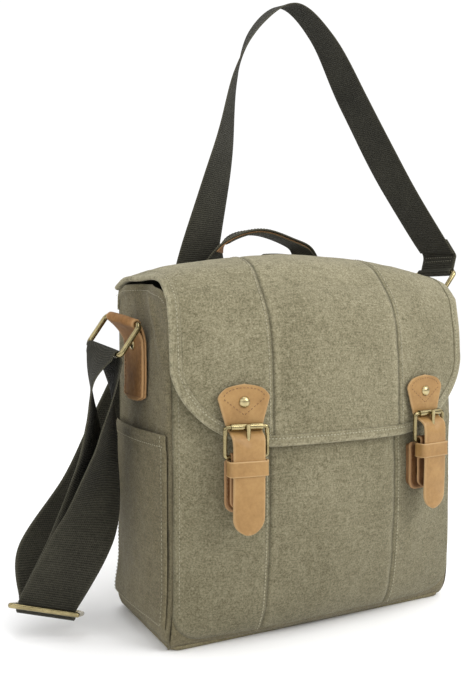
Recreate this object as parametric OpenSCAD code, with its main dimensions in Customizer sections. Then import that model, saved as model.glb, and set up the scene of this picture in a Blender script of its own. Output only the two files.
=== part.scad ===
// Canvas messenger bag: flap, two buckled leather closures, shoulder strap
// with slider, side rings, carry handle, side pockets and lining.
// Origin: centre of the base underside.  +Z up, the front of the bag faces -Y.
// A side argument is -1 for left (-X) and 1 for right (+X).

/* [Body] */
// Half of the body width
body_hw = 150; // [148:1:152]
// Height at which the front, side and back panels end
panel_top = 292; // [288:1:293]
// Depth of the front panel's outward bulge at its middle
front_bulge = 24; // [18:1:25]
// How far the lower front edge pulls back
front_tuck = 6; // [4:1:8]
// Thickness of one canvas panel
canvas_t = 1.8; // [1.4:0.1:2]
// Half of the distance between the two vertical front seams
seam_x = 66; // [60:1:70]

/* [Pockets] */
// Height of the side pocket's open top edge
pocket_top = 182; // [170:1:184]

/* [Strap] */
// Width of the shoulder webbing
web_w = 50; // [46:1:50]
// Thickness of the shoulder webbing
web_t = 1.6; // [1.2:0.1:1.8]
// Radius of the round bar used for the side rings
ring_r = 2.4; // [1.8:0.1:2.4]
// Distance between the two long bars of a side ring
ring_drop = 31; // [29:1:31]

/* [Closures] */
// Half of the distance between the two closures
closure_x = 95; // [92:1:96]
// Height of the buckle roller's axis
roller_z = 191.5; // [190:0.5:193]
// Width of the leather closure strap
billet_w = 30; // [26:1:31]
// Radial clearance of the roller on its bar
roller_clear = 0.05; // [0.03:0.01:0.08]

/* [Handle] */
// Top of the standing carry handle
handle_top = 368; // [360:1:372]

/* [Hidden] */
$fn = 48;
CANVAS = [0.55,0.52,0.41];
DARK_CANVAS = [0.45,0.40,0.30];
TAN = [0.70,0.50,0.30];
WEBBING = [0.24,0.23,0.19];
BRASS = [0.58,0.48,0.28];
LINING = [0.33,0.31,0.26];
BOARD = [0.12,0.12,0.12];

// ---------- helpers ----------
function clamp(value, low=0, high=1) = min(max(value, low), high);
function unit(vector) = vector/norm(vector);
function spread(first, last, count) = [for(i=[0:count]) first+(last-first)*i/count];
function quad(a, b, c, d) = [[a,b,c], [a,c,d]];

// Catmull-Rom curve through a list of points; whole places fall on the points
function curve(points, place) =
  let(last=len(points)-1, i=min(floor(clamp(place, 0, last)), last-1),
      part=clamp(place, 0, last)-i,
      before=points[max(i-1, 0)], start=points[i],
      end=points[i+1], after=points[min(i+2, last)])
  0.5*(2*start + (end-before)*part + (2*before-5*start+4*end-after)*part*part
       + (3*start-before-3*end+after)*part*part*part);

// closed sheet between two normal offsets of point(u,v), sampled at us and vs
module sheet(point, us, vs, offset_a, offset_b) {
  probe = 0.05;
  rows = len(us)-1;
  columns = len(vs)-1;
  normal = function(u,v) unit(cross(point(u+probe,v)-point(u-probe,v),
                                    point(u,v+probe)-point(u,v-probe)));
  points = [for(depth=[offset_a,offset_b]) for(u=us) for(v=vs) point(u,v)+normal(u,v)*depth];
  half = len(us)*len(vs);
  id = function(i,j) i*len(vs)+j;
  faces = concat(
    [for(i=[0:rows-1]) for(j=[0:columns-1])
      let(a=id(i,j), b=id(i,j+1), c=id(i+1,j+1), d=id(i+1,j))
      each concat(quad(a,b,c,d), quad(half+a,half+d,half+c,half+b))],
    [for(i=[0:rows-1]) let(a=id(i,0), b=id(i+1,0)) each quad(a,b,half+b,half+a)],
    [for(i=[0:rows-1]) let(a=id(i,columns), b=id(i+1,columns)) each quad(a,half+a,half+b,b)],
    [for(j=[0:columns-1]) let(a=id(0,j), b=id(0,j+1)) each quad(a,half+a,half+b,b)],
    [for(j=[0:columns-1]) let(a=id(rows,j), b=id(rows,j+1)) each quad(a,b,half+b,half+a)]);
  polyhedron(points, faces, convexity=8);
}

// Ribbon stations are [x, y, z, azimuth, elevation]; the angles aim its width
function ribbon_point(stations, place, across) =
  let(at=curve(stations, place))
  [at[0],at[1],at[2]] + across*[cos(at[3])*cos(at[4]), sin(at[3])*cos(at[4]), sin(at[4])];
module ribbon(stations, first, last, count, width=web_w, thick=web_t)
  sheet(function(place,across) ribbon_point(stations, place, across),
        spread(first, last, count), [-width/2,0,width/2], thick/2, -thick/2);

module rod(start, end, radius) {
  run = end-start;
  length = norm(run);
  translate(start) rotate([0,acos(run.z/length),atan2(run.y, run.x)])
    cylinder(h=length, r=radius);
}
// tube along Z, centred on the origin
module tube(length, outer, inner) translate([0,0,-length/2]) difference() {
  cylinder(h=length, r=outer);
  translate([0,0,-1]) cylinder(h=length+2, r=inner);
}

// ---------- body ----------
front_depth = 63;
back_depth = 63;
edge_bulge = 4;       // outward bulge of the front at its two side seams
shape_hw = 150;       // half width over which the panels curve
shape_height = 300;   // height over which the panels curve
seam_gap = 0.3;
panel_edge = body_hw-3;
panel_foot = 4;
gusset_inset = 2.4;
pocket_t = 1.5;
hem_hw = body_hw-5;
hem_hd = 60;
hem_t = 2.5;
lining_at = [-142,-43,4];
lining_size = [284,102,286];
lining_t = 1;

// 0 on the centre line, 1 at the shape's half width
function edge_share(x) = pow(x/shape_hw, 2);
function height_wave(z) = sin(180*clamp(z/shape_height));
function bulge(x, z) = (edge_bulge+front_bulge*(1-edge_share(x)))
  * pow(sin(180*pow(clamp(z/shape_height, 0.005, 0.995), 0.75)), 0.6);
function front_y(x, z) = -(front_depth+bulge(x, z)) + front_tuck*pow(clamp(1-z/35), 2);
function side_x(y, z) = body_hw - 1.5 + 4*(1-pow(y/62, 2))*height_wave(z);
// x limits of the left (-1), centre (0) or right (1) panel
function panel_limits(part, seam, edge) =
  part<0 ? [-edge,-seam-seam_gap/2]
  : part>0 ? [seam+seam_gap/2,edge]
  : [-seam+seam_gap/2,seam-seam_gap/2];

module front_panel(part) {
  limits = panel_limits(part, seam_x, panel_edge);
  color(CANVAS) sheet(function(x,z) [x,front_y(x, z),z],
    spread(limits[0], limits[1], 6), spread(panel_foot, panel_top, 14), 0, -canvas_t);
}
module front_panel_left() front_panel(-1);
module front_panel_center() front_panel(0);
module front_panel_right() front_panel(1);
module back_panel() color(CANVAS)
  sheet(function(x,z) [x,back_depth+2*(1-edge_share(x))*height_wave(z),z],
        spread(-panel_edge, panel_edge, 8), spread(panel_foot, 299, 8), 0, canvas_t);

// the front edge follows the tucked lower front edge
module side_gusset(side) color(DARK_CANVAS)
  sheet(function(percent,z)
          let(front=front_y(panel_edge, z)+gusset_inset, back=back_depth-gusset_inset,
              y=front+(back-front)*percent/100)
          [side*side_x(y, z),y,z],
        spread(0, 100, 7), spread(panel_foot, panel_top, 12), 0, -side*canvas_t);
module side_gusset_left() side_gusset(-1);
module side_gusset_right() side_gusset(1);

module bottom_panel() {
  width = 2*body_hw-12;
  depth = 117;
  corner = 10;
  color(DARK_CANVAS) translate([-width/2,-57,0]) linear_extrude(2.6) union() {
    translate([corner,0]) square([width-2*corner,depth]);
    translate([0,corner]) square([width,depth-2*corner]);
    for(x=[corner,width-corner], y=[corner,depth-corner]) translate([x,y]) circle(corner);
  }
}

// the pocket stands off the gusset and swells towards its middle
module side_pocket(side) color(DARK_CANVAS)
  sheet(function(percent,z)
          let(front=front_y(panel_edge, z)+7, y=front+(56-front)*percent/100,
              swell=2.2*sin(180*clamp(percent/100))*clamp((z-10)/60))
          [side*(side_x(y, z)+2.4+swell),y,z],
        spread(0, 100, 7), spread(15, pocket_top, 7), 0, -side*pocket_t);
module side_pocket_left() side_pocket(-1);
module side_pocket_right() side_pocket(1);

module mouth_hem() color(CANVAS) difference() {
  translate([-hem_hw,-hem_hd,panel_top+seam_gap]) cube([2*hem_hw,2*hem_hd,5]);
  translate([-hem_hw+hem_t,-hem_hd+hem_t,panel_top-1])
    cube([2*(hem_hw-hem_t),2*(hem_hd-hem_t),10]);
}
module lining() color(LINING) difference() {
  translate(lining_at) cube(lining_size);
  translate(lining_at+lining_t*[1,1,1])
    cube([lining_size.x-2*lining_t,lining_size.y-2*lining_t,290]);
}
module base_board() color(BOARD) translate([-138,-40,6]) cube([276,95,2.5]);
module divider() color(LINING) translate([-139,17,9.5]) cube([278,5,220]);

// ---------- side tabs and rings ----------
// centre of each ring's held bar, which runs along local Y
ring_left_at = [-166,-1,277];
ring_right_at = [166,-1,300];
ring_left_yaw = 10;
ring_left_tilt = 8;
// angle of the ring about its held bar
ring_left_swing = -56;
ring_right_swing = 52;
ring_hw = 29.5;
ring_corner = 4.5;
tab_w = 46;
tab_size = [2.4,tab_w,66];
tab_drop = 70;        // from the ring's held bar to the tab's lower end

module ring_left_frame()
  translate(ring_left_at) rotate([0,0,ring_left_yaw]) rotate([ring_left_tilt,0,0]) children();

module ring(side, swing) rotate([0,-side*swing,0]) {
  bar = ring_hw-ring_corner;
  for(x=[0,side*ring_drop])
    translate([x,-bar,0]) rotate([-90,0,0]) cylinder(h=2*bar, r=ring_r);
  for(y=[-ring_hw,ring_hw])
    translate([side>0 ? ring_corner : -ring_drop+ring_corner,y,0]) rotate([0,90,0])
      cylinder(h=ring_drop-2*ring_corner, r=ring_r);
  // quarter-turn corners
  box = 2*ring_corner;
  for(end=[0,1], y=[-1,1])
    translate([side*(end==0 ? ring_corner : ring_drop-ring_corner),y*bar,0]) intersection() {
      rotate_extrude() translate([ring_corner,0]) circle(ring_r);
      translate([(end==0)==(side>0) ? -box : 0,y>0 ? 0 : -box,-3]) cube([box,box,6]);
    }
}
module ring_left() color(BRASS) ring_left_frame() ring(-1, ring_left_swing);
module ring_right() color(BRASS) translate(ring_right_at) ring(1, ring_right_swing);

// leather roll round the held bar, with two blocks joining it to the tab
module tab_roll(side) difference() {
  union() {
    translate([0,-24,0]) rotate([-90,0,0]) cylinder(h=48, r=4.8);
    translate([side>0 ? -9 : 4,-21,-7]) cube([5,42,7]);
    translate([side>0 ? -7 : 1,-21,-4]) cube([6,42,6]);
  }
  translate([0,-30,0]) rotate([-90,0,0]) cylinder(h=60, r=ring_r+0.08);
}
module side_tab_left() color(TAN) {
  ring_left_frame() tab_roll(-1);
  translate([-159.4,-24,ring_left_at.z-tab_drop]) cube(tab_size);
}
module side_tab_right() color(TAN) {
  translate(ring_right_at) tab_roll(1);
  translate([157,-23,ring_right_at.z-tab_drop]) cube(tab_size);
}
module side_tab_rivets() color(BRASS) for(side=[-1,1])
  translate([side*159.6,0,side<0 ? 258 : 278]) rotate([0,side*90,0]) {
    cylinder(h=0.9, r=4.6);
    cylinder(h=1.6, r=3);
  }

// ---------- shoulder strap ----------
slider_at = [-230,21,24];
slider_yaw = -28;
slider_tilt = 8;
slider_roll = -19;
slider_hw = 29;
slider_bar_y = 13;    // outer bars, either side of the middle one
slider_bar_r = 2.2;
left_bar_at = ring_left_at+[-17.4,-1.5,-25.6];

function station(point, azimuth, elevation) = [point.x,point.y,point.z,azimuth,elevation];
function slider_station(shift) = station(slider_at+shift, slider_yaw, -slider_tilt);
function ring_station(shift) = station(left_bar_at+shift, 100, 8);

// ribbon stations [x, y, z, azimuth, elevation]
// from the back of the bag, over the top, to the right ring
arch_stations = [
  [-58,91,316,12,0], [-47,93,356,16,0], [-18,101,456,42,0], [1,109,536,62,0],
  [27,112,592,78,8], [66,108,621,84,14], [104,98,588,86,8], [133,78,516,88,-6],
  [160,40,425,90,-4], [188,-2,342,92,4]];
// from the arch's rear end down to the slider
rear_stations = [
  [-58,91,311,12,0], [-84,92,275,6,-3], [-112,93,232,0,-5], [-141,86,180,-8,-8],
  [-175,70,122,-18,-14], [-224,47,66,-26,-14], slider_station([2.2,5.2,3])];
// from the left ring down to the slider's middle bar
sewn_stations = [
  ring_station([-3.4,0,-1]), [-195,-2,228,78,2], [-194,1,193,64,5], [-192,8,156,44,3],
  [-192,14,116,6,-8], [-203,19,78,-24,-20], slider_station([0,0,4.4])];
// from the left ring down to the slider's front side
return_stations = [
  ring_station([3.4,0,-1]), [-176,-1,216,76,-2], [-180,-3.5,181,58,-8], [-184,-3,157,46,-8],
  [-193,1,110,10,-15], [-207,1,80,-16,-22], slider_station([-2.2,-5.2,3])];

// local X along the slider's bars, local Y across them
module slider_frame() translate(slider_at) rotate([0,0,slider_yaw])
  rotate([0,slider_tilt,0]) rotate([slider_roll,0,0]) children();

module strap_arch() color(WEBBING) ribbon(arch_stations, 0.03, 8.86, 44);
module strap_rear_upper() color(WEBBING) ribbon(rear_stations, 0.3, 1.45, 8);
module strap_rear_lower() color(WEBBING) {
  ribbon(rear_stations, 1.5, 5.98, 22);
  // half loop below the slider's middle bar
  slider_frame() difference() {
    rotate([0,90,0]) translate([0,0,-web_w/2]) cylinder(h=web_w, r=6);
    rotate([0,90,0]) translate([0,0,-web_w/2-1]) cylinder(h=web_w+2, r=4.5);
    translate([-40,-10,0]) cube([80,20,10]);
  }
}
module strap_return() color(WEBBING) ribbon(return_stations, 0.2, 5.93, 26);
module strap_sewn_end() color(WEBBING) {
  ribbon(sewn_stations, 0.16, 5.98, 26);
  ring_left_frame() rotate([0,ring_left_swing,0]) translate([-ring_drop,0,0])
    rotate([-90,0,0]) tube(web_w, ring_r+0.25+web_t, ring_r+0.25);
  slider_frame() rotate([0,90,0]) tube(web_w, 4.1, 2.3);
}
// one length of webbing: round the ring's bar, then up to the strap
module strap_end_right() {
  bar = ring_right_at+ring_drop*[cos(ring_right_swing),0,sin(ring_right_swing)];
  radius = ring_r+0.35+web_t/2;
  // 0 to 100 is the wrap, 100 to 200 the straight run
  path = function(along,across)
    let(angle=-250+3.2*min(along, 100), rise=max(along-100, 0)/100)
    [bar.x+radius*cos(angle)+(0.9-0.12*radius*sin(angle))*rise,
     bar.y+across,
     bar.z+radius*sin(angle)+9.5*rise];
  color(WEBBING) sheet(path, concat(spread(0, 100, 18), spread(112, 200, 4)),
    [-web_w/2,0,web_w/2], web_t/2, -web_t/2);
}
module slider() color(BRASS) slider_frame() {
  for(y=[-slider_bar_y,0,slider_bar_y])
    translate([-slider_hw,y,0]) rotate([0,90,0])
      cylinder(h=2*slider_hw, r=y==0 ? 2 : slider_bar_r);
  for(x=[-slider_hw,slider_hw]) {
    translate([x,-slider_bar_y,0]) rotate([-90,0,0])
      cylinder(h=2*slider_bar_y, r=slider_bar_r);
    for(y=[-slider_bar_y,slider_bar_y]) translate([x,y,0]) sphere(slider_bar_r);
  }
}

// ---------- carry handle and hanging loop ----------
handle_x0 = -45;
handle_x1 = 69;
handle_w = 26;
anchor_y = 67.5;
loop_x = 10;
loop_z = 305;
loop_w = 40;
loop_leg_w = 12;
loop_leg_h = 36;
loop_t = 1.6;
// ribbon stations [x, y, z, azimuth, elevation]
handle_stations = [
  [handle_x0,71,303,0,0], [handle_x0+1,71.5,325,10,0], [handle_x0+10,73,350,60,0],
  [handle_x0+30,74,handle_top-4,90,0], [handle_x0+58,74,handle_top,90,0],
  [handle_x1-24,74,handle_top-8,90,0], [handle_x1-6,73,350,115,0],
  [handle_x1,71.5,326,160,0], [handle_x1,71,303,180,0]];

module handle_webbing() color(WEBBING) ribbon(handle_stations, 0, 8, 36, handle_w, 2.2);
module handle_leather() color(TAN)
  sheet(function(place,across) ribbon_point(handle_stations, place, across),
        spread(1.9, 6.1, 20), [-10,0,10], -1.7, -3);
module handle_anchors() color(WEBBING) for(x=[handle_x0,handle_x1])
  translate([x-handle_w/2,anchor_y,262]) cube([handle_w,2,38]);
module hang_loop() color(WEBBING) {
  for(x=[loop_x,loop_x+loop_w-loop_leg_w])
    translate([x,anchor_y,loop_z]) cube([loop_leg_w,loop_t,loop_leg_h]);
  translate([loop_x,anchor_y,loop_z+loop_leg_h-2]) cube([loop_w,loop_t,5]);
}

// ---------- flap ----------
flap_hw = 152;
flap_edge = flap_hw-0.6;
flap_lining_hw = flap_hw-3;
flap_lining_from = canvas_t+0.25;
flap_lining_to = canvas_t+1.3;
binding_w = 9.5;
bend_gap = 1.2;       // between the bend and the top of the front binding's outline
// flap top from the back seam to the front bend, [y, z]
flap_middle = [[62,303], [40,318], [10,331], [-22,337], [-51,328], [-70,307]];
flap_side = [[62,301], [40,309], [10,316], [-22,318.5], [-51,312.5], [-68,296]];

// percent runs from the back seam (0) to the bend (100)
function flap_top_point(x, percent) =
  let(at=curve(flap_middle, percent/20)*(1-edge_share(x))
        + curve(flap_side, percent/20)*edge_share(x))
  [x,at[0],at[1]];
function bend_z(x) = 307-11*edge_share(x);
function hem_z(x) = 172+76*(1-sqrt(1-pow(clamp((abs(x)-60)/93), 2)));
function flap_front_point(x, z) =
  [x, -(70-2*edge_share(x))-(26-18*edge_share(x))*(1-exp(-(bend_z(x)-z)/26)), z];

module flap_top(part) color(CANVAS)
  sheet(function(share,percent)
          let(limits=panel_limits(part, 58+8*percent/100, flap_edge))
          flap_top_point(limits[0]+(limits[1]-limits[0])*share/100, percent),
        spread(0, 100, 6), spread(2, 99.4, 14), 0, canvas_t);
module flap_top_left() flap_top(-1);
module flap_top_center() flap_top(0);
module flap_top_right() flap_top(1);
module flap_top_lining() color(LINING)
  sheet(function(x,percent) flap_top_point(x, percent),
        spread(-flap_lining_hw, flap_lining_hw, 14), spread(3, 98.6, 14),
        flap_lining_from, flap_lining_to);
module flap_top_binding() color(CANVAS) for(start=[-flap_hw,flap_hw-binding_w])
  sheet(function(across,percent) flap_top_point(start+across, percent),
        [0,binding_w], spread(2, 99.3, 14), -1.3, -0.25);

// percent runs from the bend (0) to the hem (100)
module flap_front_sheet(limits, count, last, offset_a, offset_b)
  sheet(function(x,percent)
          flap_front_point(x, bend_z(x)+(hem_z(x)-bend_z(x))*percent/100),
        spread(limits[0], limits[1], count), spread(1.2, last, 14), offset_a, offset_b);
module flap_front(part) color(CANVAS)
  flap_front_sheet(panel_limits(part, seam_x, flap_edge), part==0 ? 6 : 10, 99.5, 0, canvas_t);
module flap_front_left() flap_front(-1);
module flap_front_center() flap_front(0);
module flap_front_right() flap_front(1);
module flap_front_lining() color(LINING)
  flap_front_sheet([-flap_lining_hw,flap_lining_hw], 16, 97, flap_lining_from, flap_lining_to);

// outline [x, z] in 48 steps: down the left side, round the hem, up the right side
function outline(i) =
  let(low=hem_z(flap_hw), side_run=bend_z(flap_hw)-low-bend_gap)
  i<8 ? [-flap_hw,low+side_run*(1-i/8)]
  : i>40 ? [flap_hw,low+side_run*(i-40)/8]
  : let(x=-flap_hw*cos((i-8)/32*180)) [x,hem_z(x)];
function outline_inward(i) =
  let(run=unit(outline(min(i+1, 48))-outline(max(i-1, 0)))) [-run[1],run[0]];
module flap_front_binding() color(CANVAS)
  sheet(function(along,inward)
          let(step=along/10, i=floor(clamp(step, 0, 47.99)), part=step-i,
              edge=outline(i)*(1-part)+outline(i+1)*part,
              aim=unit(outline_inward(i)*(1-part)+outline_inward(i+1)*part),
              at=edge+aim*inward)
          flap_front_point(at[0], at[1]),
        spread(0.6, 479.4, 48), [0.2,5,binding_w], 1.4, 0.35);

// ---------- closures ----------
// Closure frame: origin on the roller's axis, X along it, -Y out of the front
closure_y = -(front_depth+bulge(closure_x, 190))-18.2;
closure_yaw = 8;
closure_scale = 0.93; // applied to every size in the closure frame
snap_z = -58;
rivet_z = 21;
buckle_bar_r = 2;
buckle_bar_hw = 17;
buckle_corner = 2.5;
lower_bar_z = -26;
// billet tail's path from the flap down, [y, z]
tail_path = [
  [5,2], [5,-1.5], [2.9,-6.5], [-2.8,-11.5], [-6.3,-18], [-7.4,-27], [-7.4,-38],
  [-7.6,-60], [-7.2,-93]];

module closure(side) translate([side*closure_x,closure_y,roller_z])
  rotate([0,0,side*closure_yaw]) scale(closure_scale) children();
// local Z along the snap's axis, towards the bag
module snap_axis(y=0) translate([0,y,snap_z]) rotate([-90,0,0]) children();
// cylinder along X, centred on the YZ plane
module cross_bar(z, length, radius)
  translate([-length/2,0,z]) rotate([0,90,0]) cylinder(h=length, r=radius);
// plate with a rounded lower end
module plate(width, bottom, top, front, back, corner)
  rotate([90,0,0]) translate([0,0,-back]) linear_extrude(back-front) union() {
    translate([-width/2,bottom+corner]) square([width,top-bottom-corner]);
    translate([-width/2+corner,bottom]) square([width-2*corner,corner+1]);
    for(x=[-width/2+corner,width/2-corner]) translate([x,bottom+corner]) circle(corner);
  }

module base_patch(side) color(TAN) closure(side) difference() {
  plate(width=34, bottom=-77, top=-30, front=8.6, back=10.4, corner=9);
  snap_axis() cylinder(h=30, r=3.2);
}
module base_patch_left() base_patch(-1);
module base_patch_right() base_patch(1);

module snap_sockets() color(BRASS) for(side=[-1,1]) closure(side) snap_axis(5.9) {
  difference() {
    cylinder(h=2.4, r=9);
    translate([0,0,-1]) cylinder(h=2.6, r=3.4);
  }
  translate([0,0,2]) cylinder(h=3.6, r=2.9);
}

// leather plate on the flap, widening upwards to an arched top
module billet_anchor(side) color(TAN) closure(side)
  rotate([90,0,0]) translate([0,0,-7.1]) linear_extrude(2.2) difference() {
    union() {
      polygon([[-17,3.6], [17,3.6], [23.5,26], [-23.5,26]]);
      translate([-23.5,26]) square([47,2]);
      intersection() {
        translate([0,-19.8]) circle(57, $fn=96);
        translate([-23.5,28]) square([47,20]);
      }
    }
    translate([0,rivet_z]) circle(2.2);
  }
module billet_anchor_left() billet_anchor(-1);
module billet_anchor_right() billet_anchor(1);

module billet_rivets() color(BRASS) for(side=[-1,1])
  closure(side) translate([0,0,rivet_z]) rotate([90,0,0]) {
    translate([0,0,-7.05]) cylinder(h=2.3, r=2);
    translate([0,0,-4.7]) cylinder(h=0.8, r=5);
    // domed head
    intersection() {
      translate([0,0,-10.9]) sphere(8.4);
      translate([0,0,-4]) cylinder(h=4, r=5);
    }
  }

module billet_tail(side) color(TAN) closure(side) difference() {
  sheet(function(along,x) let(at=curve(tail_path, along/10)) [x,at[0],at[1]],
        spread(0, 80, 28), spread(-billet_w/2, billet_w/2, 4), 1.1, -1.1);
  // prong slot
  translate([-2.6,-12,-29.5]) cube([5.2,20,22.5]);
  // rounded tip
  translate([0,0,-78]) rotate([90,0,0]) translate([0,0,-5]) linear_extrude(20) difference() {
    translate([-20,-20]) square([40,20]);
    circle(billet_w/2);
  }
}
module billet_tail_left() billet_tail(-1);
module billet_tail_right() billet_tail(1);

module buckle_frame(side) color(BRASS) closure(side) {
  low = lower_bar_z+buckle_corner;
  for(z=[0,lower_bar_z]) cross_bar(z, 2*buckle_bar_hw, buckle_bar_r);
  for(x=[-1,1]) translate([x*(buckle_bar_hw+buckle_corner),0,low])
    cylinder(h=-buckle_corner-low, r=buckle_bar_r);
  for(x=[-1,1], z=[-buckle_corner,low])
    translate([x*buckle_bar_hw,0,z]) rotate([90,0,0]) intersection() {
      rotate_extrude() translate([buckle_corner,0]) circle(buckle_bar_r);
      translate([x>0 ? 0 : -6,z>low ? 0 : -6,-3]) cube([6,6,6]);
    }
}
module buckle_frame_left() buckle_frame(-1);
module buckle_frame_right() buckle_frame(1);

module roller(side) color(BRASS) closure(side)
  rotate([0,90,0]) tube(29, 3.2, buckle_bar_r+roller_clear);
module roller_left() roller(-1);
module roller_right() roller(1);

module prong(side) color(BRASS) closure(side) difference() {
  union() {
    cross_bar(lower_bar_z, 4, 3.7);
    rod([0,-4.1,lower_bar_z], [0,-5.7,3.2], 1.9);
  }
  cross_bar(lower_bar_z, 10, buckle_bar_r+0.06);
}
module prong_left() prong(-1);
module prong_right() prong(1);

module keeper(side) color(TAN) closure(side) translate([0,0,-42.5]) difference() {
  translate([-18.6,-10.8,0]) cube([37.2,14.8,12.5]);
  translate([-16.8,-9.1,-1]) cube([33.6,11.4,15]);
}
module keeper_left() keeper(-1);
module keeper_right() keeper(1);

// leather piece round the buckle's lower bar, slotted for the prong
module chape(side) color(TAN) closure(side) difference() {
  union() {
    cross_bar(lower_bar_z, 29, 4.1);
    plate(width=29, bottom=-74, top=lower_bar_z, front=-0.6, back=1.9, corner=8);
  }
  cross_bar(lower_bar_z, 40, buckle_bar_r+0.08);
  translate([-2.6,-6,-31]) cube([5.2,12,16]);
  snap_axis(-10) cylinder(h=30, r=2.2);
}
module chape_left() chape(-1);
module chape_right() chape(1);

module snap_cap(side) color(BRASS) closure(side) snap_axis() {
  translate([0,0,2.1]) cylinder(h=2.3, r=8.5);
  translate([0,0,-1.5]) cylinder(h=4, r=2);
  translate([0,0,4]) cylinder(h=3, r=3);
}
module snap_cap_left() snap_cap(-1);
module snap_cap_right() snap_cap(1);

front_panel_left();
front_panel_center();
front_panel_right();
back_panel();
side_gusset_left();
side_gusset_right();
bottom_panel();
side_pocket_left();
side_pocket_right();
mouth_hem();
lining();
base_board();
divider();
base_patch_left();
base_patch_right();
snap_sockets();
side_tab_left();
side_tab_right();
side_tab_rivets();
handle_anchors();
hang_loop();
strap_rear_upper();
ring_left();
strap_return();
strap_sewn_end();
strap_rear_lower();
slider();
ring_right();
strap_end_right();
strap_arch();
handle_webbing();
handle_leather();
flap_top_left();
flap_top_center();
flap_top_right();
flap_top_lining();
flap_top_binding();
flap_front_left();
flap_front_center();
flap_front_right();
flap_front_lining();
flap_front_binding();
billet_anchor_left();
billet_anchor_right();
billet_rivets();
billet_tail_left();
buckle_frame_left();
roller_left();
prong_left();
keeper_left();
chape_left();
snap_cap_left();
billet_tail_right();
buckle_frame_right();
roller_right();
prong_right();
keeper_right();
chape_right();
snap_cap_right();
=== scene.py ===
"""Canvas shoulder bag with leather closures, webbing strap, carry handle and brass hardware.

The bag stands on z = 0 with its front towards -Y, left at -X and right at +X.
"""
import bpy
import bmesh
import math
import numpy as np
from mathutils import Vector, Matrix, noise


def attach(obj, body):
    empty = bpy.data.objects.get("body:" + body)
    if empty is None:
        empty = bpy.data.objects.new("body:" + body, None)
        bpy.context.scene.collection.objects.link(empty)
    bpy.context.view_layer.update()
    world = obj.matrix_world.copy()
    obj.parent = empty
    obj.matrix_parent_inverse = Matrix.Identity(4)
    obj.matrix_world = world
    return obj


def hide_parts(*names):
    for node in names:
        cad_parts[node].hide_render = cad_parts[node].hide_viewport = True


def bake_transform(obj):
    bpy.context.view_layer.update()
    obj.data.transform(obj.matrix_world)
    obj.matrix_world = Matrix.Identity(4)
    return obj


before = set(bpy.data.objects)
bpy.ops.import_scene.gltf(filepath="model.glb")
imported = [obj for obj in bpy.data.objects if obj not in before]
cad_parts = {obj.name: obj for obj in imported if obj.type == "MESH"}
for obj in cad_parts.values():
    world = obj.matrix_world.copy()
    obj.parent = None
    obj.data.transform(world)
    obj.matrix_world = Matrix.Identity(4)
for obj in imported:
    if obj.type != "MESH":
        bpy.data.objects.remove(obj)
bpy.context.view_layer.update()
MM = 0.001
SIDES = ((-1, "left"), (1, "right"))


# ------------------------------------------------------------------ shader nodes
class Nodes:
    """short ways to add nodes to one tree"""

    def __init__(self, tree, shader=None):
        self.tree = tree
        self.shader = shader

    def node(self, kind):
        return self.tree.nodes.new(kind)

    def feed(self, value, socket):
        """link an output to the socket, or set a plain value on it"""
        if isinstance(value, bpy.types.NodeSocket):
            self.tree.links.new(value, socket)
        else:
            socket.default_value = value

    def noise(self, place, scale, detail=4, rough=0.55):
        texture = self.node("ShaderNodeTexNoise")
        texture.inputs["Scale"].default_value = scale
        texture.inputs["Detail"].default_value = detail
        texture.inputs["Roughness"].default_value = rough
        self.feed(place, texture.inputs["Vector"])
        return texture.outputs[0]

    def ramp(self, factor, *stops):
        """stops are (position, colour), where a single number is a grey"""
        ramp = self.node("ShaderNodeValToRGB")
        elements = ramp.color_ramp.elements
        while len(elements) > 1:
            elements.remove(elements[0])
        for k, (position, colour) in enumerate(stops):
            element = elements.new(position) if k else elements[0]
            element.position = position
            element.color = (*(colour if isinstance(colour, tuple) else (colour,) * 3), 1)
        self.feed(factor, ramp.inputs[0])
        return ramp.outputs[0]

    def mix(self, factor, under, colour):
        mix = self.node("ShaderNodeMix")
        mix.data_type = "RGBA"
        self.feed(factor, mix.inputs[0])
        self.feed(under, mix.inputs[6])
        self.feed((*colour, 1), mix.inputs[7])
        return mix.outputs[2]

    def math(self, operation, *values):
        node = self.node("ShaderNodeMath")
        node.operation = operation
        for socket, value in zip(node.inputs, values):
            self.feed(value, socket)
        return node.outputs[0]

    def weigh(self, value, weight, onto=None):
        """value times weight, added onto another value if one is given"""
        if onto is None:
            return self.math("MULTIPLY", value, weight)
        return self.math("MULTIPLY_ADD", value, weight, onto)

    def add(self, first, second):
        return self.math("ADD", first, second)

    def wave(self, coordinate, period):
        return self.math("SINE", self.weigh(coordinate, weight=2 * math.pi / period), 0.0)

    def attribute(self, name):
        node = self.node("ShaderNodeAttribute")
        node.attribute_name = name
        return node.outputs["Fac"]

    def separate(self, vector):
        node = self.node("ShaderNodeSeparateXYZ")
        self.feed(vector, node.inputs[0])
        return node.outputs

    def bump(self, height, strength, distance, after=None):
        node = self.node("ShaderNodeBump")
        node.inputs["Strength"].default_value = strength
        node.inputs["Distance"].default_value = distance
        self.feed(height, node.inputs["Height"])
        if after is not None:
            self.feed(after, node.inputs["Normal"])
        self.feed(node.outputs[0], self.shader.inputs["Normal"])
        return node.outputs[0]

    def surface(self, settings):
        for name, value in settings.items():
            self.feed(value, self.shader.inputs[name])


def new_material(name):
    material = bpy.data.materials.new(name)
    material.use_nodes = True
    tree = material.node_tree
    for node in list(tree.nodes):
        tree.nodes.remove(node)
    output = tree.nodes.new("ShaderNodeOutputMaterial")
    shader = tree.nodes.new("ShaderNodeBsdfPrincipled")
    tree.links.new(shader.outputs[0], output.inputs[0])
    return material, Nodes(tree, shader)


def tint(colour, factor):
    return tuple(min(1, channel * factor) for channel in colour)


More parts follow.
